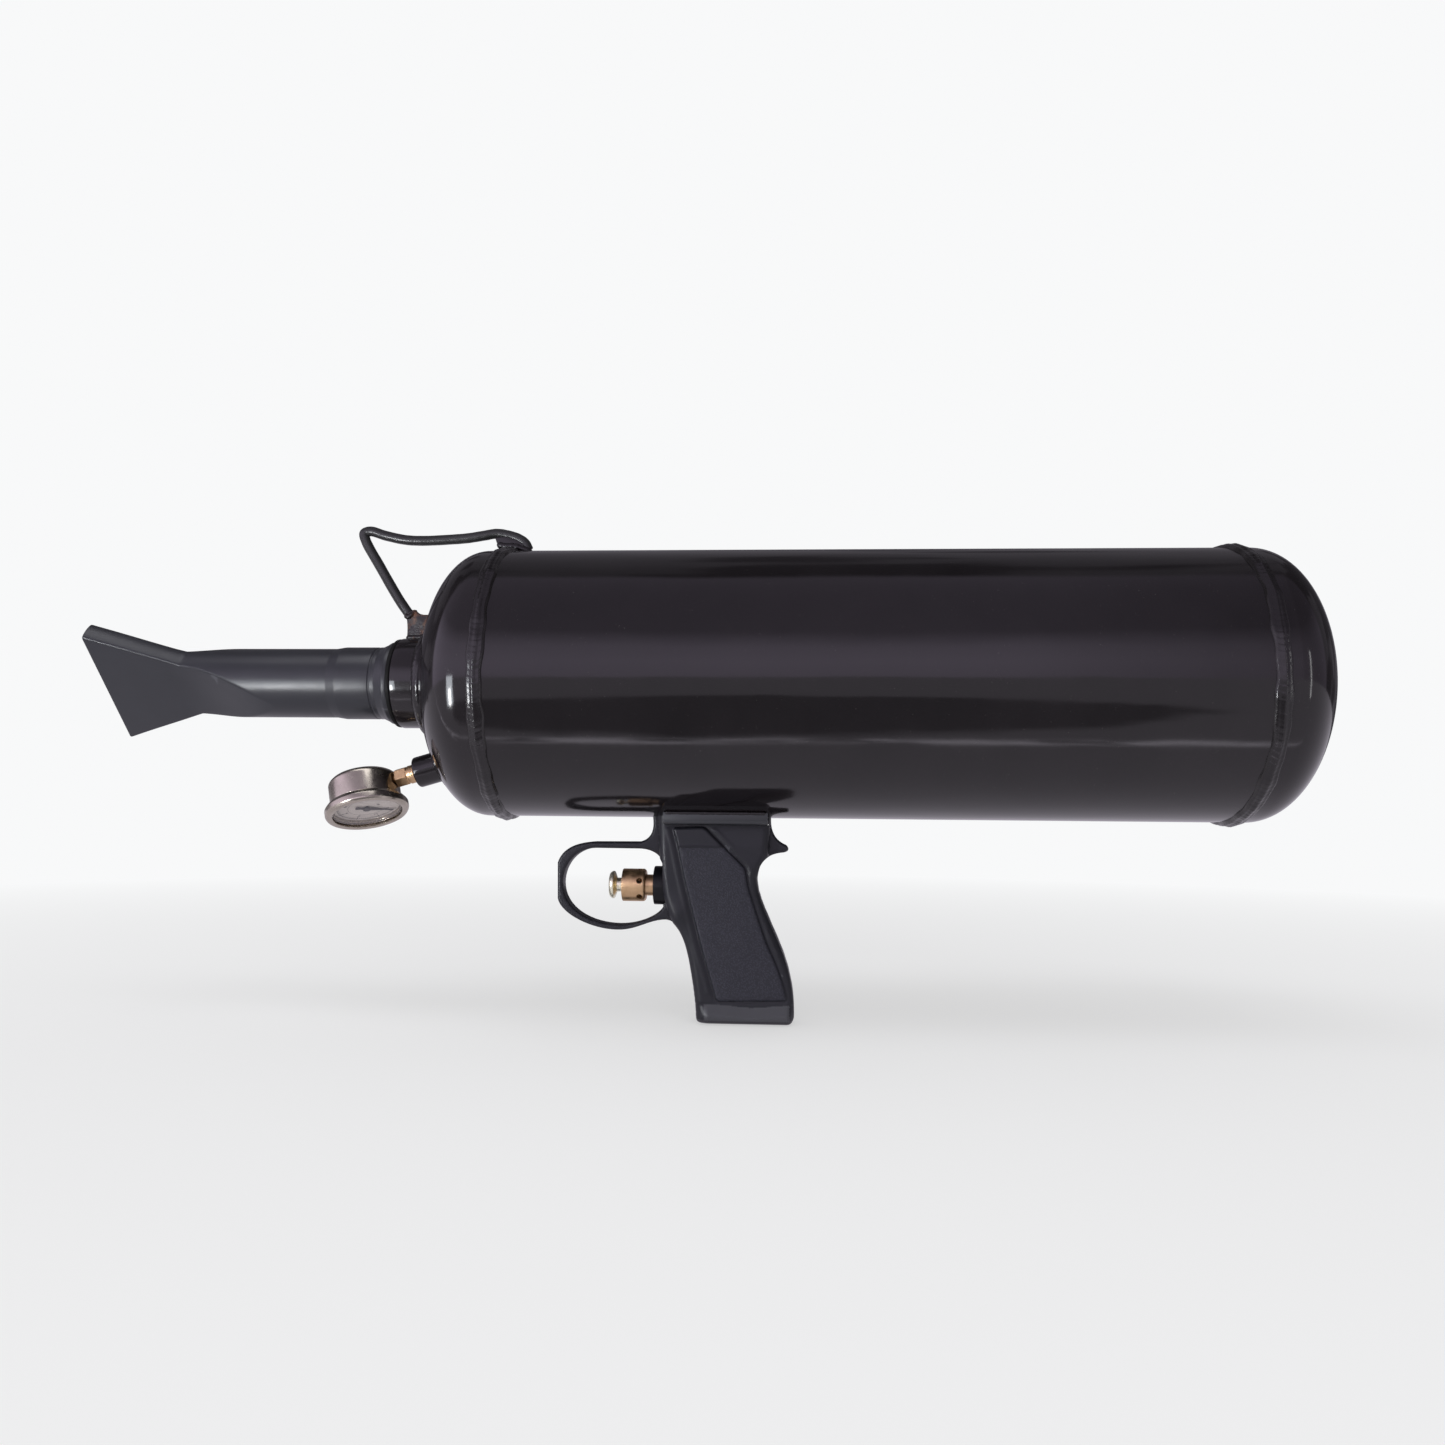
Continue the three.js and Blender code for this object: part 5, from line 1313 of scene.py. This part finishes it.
# ---------------------------------------------------------------- trigger pilot valve
def build_trigger():
    z = TRIGGER_Z
    body_shape = [(-133.5, 4.2), (-133.5, 9.1), (-121.4, 9.1), (-120.4, 8.2), (-120.4, 5.9), (-107, 5.9),
                  (-107, 4.2), (-118.6, 4.2), (-118.6, 2.3), (-121, 2.3), (-121, 4.2)]
    body_turned = revolved("x", dense(body_shape, 2), sides=112, soften=0.45)
    body = piece("trigger_body", moved(body_turned, z=z), brass_x)
    vents = [spun(moved(rod("z", 1.7, -12, 12, sides=40), -123.4), "x", 72 + 60 * i) for i in range(3)]
    cut_by(body, *(moved(vent, z=z) for vent in vents))
    knob = [(-141.2, 0), (-141.2, 4.2), (-140.8, 6.6), (-139.4, 7.7), (-138.3, 7.7), (-137.4, 5.4),
            (-136.9, 3.9), (-130.5, 3.9), (-130.5, 1.5), (-117.2, 1.5), (-117.2, 2.1), (-115.8, 2.1),
            (-115.8, 0)]
    button = moved(revolved("x", knob, sides=96, soften=0.5), z=z)
    piece("trigger_button", button, button_brass, "trigger_button_body")
    seal = revolved("x", sleeve(1.6, 3.5, -118.5, -117.3), sides=72, soften=0.4)
    piece("trigger_seal", moved(seal, z=z), rubber, "trigger_button_body")
    coil = spring("x", 2.7, 0.45, -130.4, -121.1, 5.5)
    obj = piece("trigger_spring", moved(coil, z=z), spring_steel, sharp=60)
    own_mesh(obj)
    shape = [(-115.6, 6.2), (-115.6, 10.75), (-104.6, 10.75), (-104.6, 3.2), (-102, 3.2), (-102, 3.7),
             (-100, 3.2), (-95, 3.2), (-95, 2), (-106, 2), (-106, 6.2)]
    piece("trigger_socket", moved(revolved("x", shape, sides=96, soften=0.5), z=z), socket_plastic)
    hose = smooth_path([(-103.6, 0, z), (-98, 0, z), (-91.5, 0, -111.5), (PILOT_X, 0, -104.5),
                        (PILOT_X, 0, -94), (PILOT_X, 0, -80.6)], 16)
    piece("pilot_hose", swept(hose, 5.2, 32, hollow=4.1), rubber)
    boss = [(-61, 3.3), (-61, 5.6), (-70, 5.6), (-70, 8), (-79.3, 8), (-79.3, 3.2), (-82, 3.2), (-82, 3.7),
            (-84, 3.2), (-93, 3.2), (-93, 2), (-68, 2), (-68, 3.3)]
    piece("pilot_boss", moved(revolved("z", boss, sides=72, soften=0.35), PILOT_X), bracket_paint)


# ---------------------------------------------------------------- fill valve
def shell_foot(x, radius, steps=120):
    """Where a boss of this radius along +Y meets the tank's shell."""
    path = []
    for angle in np.linspace(0, TAU, steps + 1):
        across = radius * math.sin(angle)
        path.append((x + radius * math.cos(angle), math.sqrt(TANK_RADIUS**2 - across**2) + 0.3, across))
    return path


def build_fill_valve():
    x, y = FILL_X, BALL_Y
    collar = revolved("y", dense(sleeve(8.4, 13, 72.5, 84), 3), sides=96, soften=0.6)
    boss = piece("fill_boss", moved(collar, x), paint)
    added(boss, weld_run(shell_foot(x, 13.6), 2.0, pitch=2.4), bead_paint, sharp=70)
    shape = [(77, 5), (77, 8), (84.6, 8), (84.6, 13.2), (92, 13.2), (92.6, 12.6), (100, 12.6), (100.6, 13.2),
             (111, 13.2), (111, 9.3), (87.5, 9.3), (87.5, 5)]
    barrel = revolved("y", dense(shape, 3), sides=120, soften=0.5, hex_part=(100.6, 111, 23.6))
    body = piece("fill_valve_body", moved(barrel, x), brass_y)
    tower = revolved("z", [(9.6, 0), (9.6, 6), (19.4, 6), (19.4, 0)], sides=64, soften=0.4)
    cut_by(body, moved(tower, x, y), operation="UNION")
    cut_by(body, rod("y", 9.3, 87.5, 120, (x, 0, 0), 96), rod("z", 3.3, 5, 25, (x, y, 0), 48))
    ball_sphere = globe(8.75, (x, y, 0))
    for name, low, high in (("fill_valve_inner_seat", 87.8, 92.6), ("fill_valve_outer_seat", 103.4, 108.3)):
        seat = piece(name, moved(revolved("y", sleeve(5, 9.1, low, high), sides=96, soften=0.2), x), ptfe)
        cut_by(seat, ball_sphere)
    ball = piece("fill_valve_ball", globe(8.5, (x, y, 0)), ball_chrome, "fill_lever_body", sharp=30)
    cut_by(ball, rod("x", 5, -12, 12, (x, y, 0), 64), moved(box_shape(-12, 12, -1.5, 1.5, 6, 10), x, y))
    stem_shape = [(8.6, 0), (8.6, 3), (19.6, 3), (19.6, 2.8), (26.6, 2.8), (27, 2.4), (27, 0)]
    stem = piece("fill_valve_stem", moved(revolved("z", stem_shape, sides=48, soften=0.2), x, y), brass_y,
                 "fill_lever_body")
    cut_by(stem, moved(box_shape(-2.6, 2.6, -1.2, 1.2, 6.4, 8.8), x, y), operation="UNION")
    side = softened([(-8, 19.8), (15, 19.8), (23, 25.8), (64, 25.8), (64, 28.2), (22.2, 28.2), (14.2, 22.2),
                     (-8, 22.2)], 2.2, steps=6)
    lever = piece("fill_valve_lever", moved(extruded(side, -6, 6), x, y), zinc, "fill_lever_body")
    nose = [(-9, -6.5), (-9, -5), (-5.5, -6.5)]
    for sign in (1, -1):
        corner = extruded([(a, sign * b) for a, b in nose], 18, 24, "z")
        cut_by(lever, moved(corner, x, y))
    cut_by(lever, rod("z", 3.3, 10, 30, (x, y, 0), 48))
    bevelled(lever, 0.35, 2, 40)
    smooth(lever, 40)
    dipped = [(26, 24.2), (64, 24.2), (66.5, 25.4), (66.5, 28.6), (64, 29.8), (26, 29.8)]
    dipped = moved(extruded(softened(dipped, 1.2, steps=5), -8, 8), x, y)
    grip = piece("fill_valve_lever_sleeve", dipped, red_vinyl, "fill_lever_body")
    bevelled(grip, 1.5, 4, 40)
    cut_by(grip, moved(box_shape(20, 64.4, -6.3, 6.3, 25.5, 28.5), x, y), sharp=45)
    nut_shape = [(22.5, 3.3), (22.5, 5.6), (22.9, 6.2), (25.1, 6.2), (25.7, 5.3), (25.7, 3.3)]
    nut = revolved("z", nut_shape, sides=96, soften=0.15, hex_part=(22.5, 25.7, 9.7))
    piece("fill_valve_nut", moved(nut, x, y), zinc, "fill_lever_body")
    end_shape = [(108.6, 5), (108.6, 9), (111.4, 9), (111.4, 12.4), (117, 12.4), (117, 6.8), (112, 6.8),
                 (112, 5)]
    end = revolved("y", dense(end_shape, 2), sides=96, soften=0.4, hex_part=(111.4, 117, 22))
    piece("fill_valve_end", moved(end, x), brass_y)
    plug_shape = [(112.6, 2.8), (112.6, 6.4), (117.4, 6.4), (117.4, 8.6), (123, 8.6), (123, 6), (127, 6),
                  (130, 7.4), (133, 7.4), (136, 5.2), (140, 5.2), (142, 6), (145, 6), (146, 5), (146, 2.8)]
    plug = revolved("y", plug_shape, sides=96, soften=0.35, hex_part=(117.4, 123, 15.2))
    piece("fill_plug", moved(plug, x), zinc)


def globe(radius, centre):
    steps = np.linspace(-math.pi / 2, math.pi / 2, 41)
    profile = [(radius * math.sin(a), max(0.0, radius * math.cos(a)) if abs(a) < 1.57 else 0.0)
               for a in steps]
    return moved(revolved("z", profile, sides=80, soften=0), *centre)


# ---------------------------------------------------------------- safety relief valve
def build_relief_valve():
    x = RELIEF_X
    collar = revolved("y", dense(sleeve(6.3, 10, 72.5, 82), 3), sides=96, soften=0.6)
    boss = piece("relief_boss", moved(collar, x), paint)
    added(boss, weld_run(shell_foot(x, 10.6), 1.9, pitch=2.4), bead_paint, sharp=70)
    shape = [(77, 2.4), (77, 6), (82.4, 6), (82.4, 8.8), (88, 8.8), (88, 7), (94, 7), (94.3, 6.7), (95, 6.7),
             (95.3, 7), (102, 7), (102, 5), (84.6, 5), (83.8, 2.4)]
    body = revolved("y", dense(shape, 2), sides=96, soften=0.35, hex_part=(82.4, 88, 15.4))
    body = piece("relief_body", moved(body, x), brass_y)
    cut_by(body, rod("z", 1.3, -12, 12, (x, 91, 0), 32))
    stem_shape = [(84.8, 0), (84.8, 4.5), (86.4, 4.5), (86.4, 1.2), (107, 1.2), (107, 2.6), (111, 2.6),
                  (111, 0)]
    stem = piece("relief_stem", moved(revolved("y", stem_shape, sides=64, soften=0.3), x), zinc,
                 "relief_stem_body")
    cut_by(stem, rod("z", 1.4, -6, 6, (x, 109, 0), 32))
    coil = spring("y", 3.2, 0.5, 86.5, 98.9, 6.5)
    obj = piece("relief_spring", moved(coil, x), spring_steel, sharp=60)
    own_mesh(obj)
    cap = piece("relief_cap", moved(revolved("y", sleeve(1.5, 4.7, 99, 103), sides=72, soften=0.4), x),
                brass_y)
    cut_by(cap, *(rod("y", 0.6, 101.5, 105, (x + 3.1 * s, 0, 0), 20) for s in (1, -1)))
    turns = np.linspace(0, 2 * TAU * 0.985, 200)
    climb = np.linspace(-0.42, 0.42, 200)
    loop = np.stack([x + climb, 118 + 9 * np.cos(turns + 0.6), 9 * np.sin(turns + 0.6)], axis=1)
    piece("relief_ring", swept(loop, 0.44, 16), zinc, "relief_ring_body", sharp=60)


build_tank()
build_outlet()
build_valve()
build_barrel()
build_handle()
build_gauge()
build_grip()
build_bracket()
build_screws()
build_trigger()
build_fill_valve()
build_relief_valve()
bpy.context.view_layer.update()


# ---------------------------------------------------------------- stage, light and camera
def backdrop():
    """A pale floor that fades into the room; its reflections have soft dark and light areas."""
    mesh = bpy.data.meshes.new("floor")
    half, level = 8.0, (GRIP_BASE - 0.6) * MM + CENTRE[2]
    corners = [(-half, -half, level), (half, -half, level), (half, half, level), (-half, half, level)]
    mesh.from_pydata(corners, [], [(0, 1, 2, 3)])
    f = Finish("pale_floor", (0.45, 0.45, 0.45), 0.9, Specular_IOR_Level=0.0, Emission_Color=(1, 1, 1, 1),
               Emission_Strength=0.50)
    split = f.node("ShaderNodeSeparateXYZ")
    f.link(f.place, split.inputs[0])
    x, y = split.outputs["X"], split.outputs["Y"]

    def math_node(operation, a, b=0.0):
        node = f.node("ShaderNodeMath", operation=operation)
        for socket, value in ((node.inputs[0], a), (node.inputs[1], b)):
            if isinstance(value, bpy.types.NodeSocket):
                f.link(value, socket)
            else:
                socket.default_value = value
        return node.outputs[0]

    def squared(value, centre, reach):
        scaled = math_node("DIVIDE", math_node("SUBTRACT", value, centre), reach)
        return math_node("MULTIPLY", scaled, scaled)

    shade = math_node("ADD", squared(x, CENTRE[0] - 0.06, 0.37), squared(y, -0.43, 0.235))
    shade = math_node("ADD", shade, math_node("MULTIPLY", f.noise(90, 2.0, 0.5), 0.5))
    light_level = f.spread(shade, FLOOR_DARK, FLOOR_GLOW, 1.10, 1.32)
    streak = f.spread(math_node("ABSOLUTE", math_node("ADD", y, 0.178)), 1, 0, 0.004, 0.018)
    streak = math_node("MULTIPLY", streak, f.spread(x, 1, 0, CENTRE[0] + 0.27, CENTRE[0] + 0.36))
    broken = f.spread(f.noise(60, 3.0, 0.6, stretch=(0.7, 3, 1)), 0, 1.9, 0.44, 0.58)
    reflected = math_node("ADD", light_level, math_node("MULTIPLY", streak, broken))
    glow = f.node("ShaderNodeEmission")
    f.link(f.blend(reflected, (0, 0, 0), ROOM_TINT), glow.inputs["Color"])
    f.link(f.spread(reflected, 1, 8, 1, 8), glow.inputs["Strength"])
    white = f.node("ShaderNodeEmission", Color=(*ROOM, 1))
    far = f.spread(math_node("SQRT", math_node("ADD", squared(x, 0, 1), squared(y, 0, 1))), 0, 1, 0.35, 1.5)
    path = f.node("ShaderNodeLightPath")
    fading = f.node("ShaderNodeMixShader")
    f.link(math_node("MULTIPLY", far, path.outputs["Is Camera Ray"]), fading.inputs[0])
    f.link(f.shader.outputs[0], fading.inputs[1])
    f.link(white.outputs[0], fading.inputs[2])
    choice = f.node("ShaderNodeMixShader")
    f.link(path.outputs["Is Glossy Ray"], choice.inputs[0])
    f.link(fading.outputs[0], choice.inputs[1])
    f.link(glow.outputs[0], choice.inputs[2])
    f.link(choice.outputs[0], f.tree.nodes["Material Output"].inputs["Surface"])
    mesh.materials.append(f.material)
    floor = bpy.data.objects.new("floor", mesh)
    bpy.context.collection.objects.link(floor)


ROOM = (0.94, 0.945, 0.95)
ROOM_TINT = (1.0, 0.94, 1.06)
FLOOR_DARK, FLOOR_GLOW = 0.22, 0.62


def sky():
    """A pale room for the camera; glossy surfaces see a softly varied one, darker behind."""
    world = bpy.data.worlds.new("room")
    bpy.context.scene.world = world
    world.use_nodes = True
    tree = world.node_tree
    tree.nodes.clear()

    def node(kind, **settings):
        made = tree.nodes.new(kind)
        for key, value in settings.items():
            if key in made.inputs:
                made.inputs[key].default_value = value
            else:
                setattr(made, key, value)
        return made

    def ramp(source, stops, low=-1.0, high=1.0):
        scaled = node("ShaderNodeMapRange")
        scaled.inputs["From Min"].default_value, scaled.inputs["From Max"].default_value = low, high
        tree.links.new(source, scaled.inputs["Value"])
        made = node("ShaderNodeValToRGB")
        elements = made.color_ramp.elements
        for index, (position, level) in enumerate(stops):
            element = elements[index] if index < 2 else elements.new(position)
            element.position, element.color = position, (*(level * part for part in ROOM_TINT), 1)
        tree.links.new(scaled.outputs[0], made.inputs[0])
        return made.outputs["Color"]

    direction = node("ShaderNodeTexCoord").outputs["Generated"]
    split = node("ShaderNodeSeparateXYZ")
    tree.links.new(direction, split.inputs[0])
    front = ramp(split.outputs["Z"],
                 [(0.0, 0.6), (0.50, 1.05), (0.60, 1.15), (0.70, 1.0), (0.80, 0.42), (1.0, 0.36)])
    across = ramp(split.outputs["X"], [(0.0, 1.0), (0.60, 1.0), (0.74, 0.42), (1.0, 0.3)])
    sided = node("ShaderNodeMix", data_type="RGBA", blend_type="MULTIPLY")
    sided.inputs[0].default_value = 1.0
    tree.links.new(front, sided.inputs[6])
    tree.links.new(across, sided.inputs[7])
    blotch = node("ShaderNodeTexNoise", Scale=2.2, Detail=2.0, Roughness=0.5)
    tree.links.new(direction, blotch.inputs["Vector"])
    rear = ramp(blotch.outputs["Fac"], [(0.0, 0.04), (0.47, 0.05), (0.52, 0.15), (1.0, 0.20)], 0, 1)
    side = ramp(split.outputs["Y"], [(0.0, 0.0), (0.515, 0.0), (0.55, 1.0), (1.0, 1.0)])
    reflected = node("ShaderNodeMix", data_type="RGBA")
    tree.links.new(side, reflected.inputs[0])
    tree.links.new(sided.outputs[2], reflected.inputs[6])
    tree.links.new(rear, reflected.inputs[7])
    gloss, fill, seen = (node("ShaderNodeBackground") for _ in range(3))
    tree.links.new(reflected.outputs[2], gloss.inputs["Color"])
    fill.inputs["Color"].default_value = (0.50, 0.50, 0.51, 1)
    seen.inputs["Color"].default_value = (*ROOM, 1)
    path = node("ShaderNodeLightPath")
    for_camera, for_gloss = node("ShaderNodeMixShader"), node("ShaderNodeMixShader")
    tree.links.new(path.outputs["Is Camera Ray"], for_camera.inputs[0])
    tree.links.new(fill.outputs[0], for_camera.inputs[1])
    tree.links.new(seen.outputs[0], for_camera.inputs[2])
    tree.links.new(path.outputs["Is Glossy Ray"], for_gloss.inputs[0])
    tree.links.new(for_camera.outputs[0], for_gloss.inputs[1])
    tree.links.new(gloss.outputs[0], for_gloss.inputs[2])
    tree.links.new(for_gloss.outputs[0], node("ShaderNodeOutputWorld").inputs["Surface"])


def softbox(name, location, target, width, height, power, reflected=True, color=(1, 1, 1)):
    light = bpy.data.lights.new(name, "AREA")
    light.shape, light.size, light.size_y = "RECTANGLE", width, height
    light.energy, light.color = power, color
    lamp = bpy.data.objects.new(name, light)
    bpy.context.collection.objects.link(lamp)
    lamp.location = Vector(location) + Vector(CENTRE)
    aim = Vector(target) - Vector(location)
    lamp.rotation_euler = aim.to_track_quat("-Z", "Y").to_euler()
    lamp.visible_camera = False
    lamp.visible_glossy = reflected
    return lamp


def camera():
    """The photograph's viewing angle: level with the tank, a little from the nozzle's side."""
    yaw, pitch, roll = (math.radians(a) for a in (3.268, 4.817, 0.541))
    forward = Vector((-math.sin(yaw) * math.cos(pitch), math.cos(yaw) * math.cos(pitch), math.sin(pitch)))
    right = Vector((math.cos(yaw), math.sin(yaw), 0))
    up = right.cross(forward)
    across = right * math.cos(roll) + up * math.sin(roll)
    upward = up * math.cos(roll) - right * math.sin(roll)
    data = bpy.data.cameras.new("view")
    data.lens, data.sensor_width = 27.06, 36
    data.clip_start, data.clip_end = 0.01, 50
    eye = bpy.data.objects.new("view", data)
    bpy.context.collection.objects.link(eye)
    turn = Matrix((across, upward, -forward)).transposed().to_4x4()
    eye.matrix_world = Matrix.Translation(Vector((-0.042996, -0.615972, -0.073888)) + Vector(CENTRE)) @ turn
    bpy.context.scene.camera = eye


def lit_only(lamps, objects):
    """Limits some lights to the given objects."""
    receivers = bpy.data.collections.new(lamps[0].name + "_receivers")
    for obj in objects:
        receivers.objects.link(obj)
    for lamp in lamps:
        lamp.light_linking.receiver_collection = receivers


def lights():
    """Small windows that glint on the near side, and large soft lamps."""
    pieces = [obj for obj in bpy.data.objects if obj.type == "MESH" and obj.name != "floor"]
    glossy = {paint.name, bead_paint.name}
    satin = [obj for obj in pieces if not glossy & {m.name for m in obj.data.materials if m}]
    glinting = [obj for obj in pieces if obj.name != "tank_shell_detail"]
    near = (-0.22, 0, -0.01)
    windows = [
        softbox("near_window", (-0.52, -0.44, -0.12), near, 0.16, 0.24, 1.1, color=(0.88, 0.94, 1.0)),
        softbox("near_window_core", (-0.515, -0.435, -0.14), near, 0.055, 0.10, 0.7),
        softbox("far_strip", (0.56, -0.42, 0.02), (0.24, 0, 0), 0.02, 0.30, 0.11),
    ]
    lit_only(windows, glinting)
    overhead = softbox("overhead", (-0.2, -0.5, 1.2), (0, 0, 0), 1.4, 0.6, 5, color=(0.96, 0.97, 1.0))
    lit_only([overhead], satin + [bpy.data.objects["floor"]])
    softbox("front_fill", (0.2, -1.6, 0.3), (0, 0, -0.1), 1.6, 0.8, 6, reflected=False)


backdrop()
sky()
lights()
camera()
bpy.context.scene.view_settings.view_transform = "Standard"
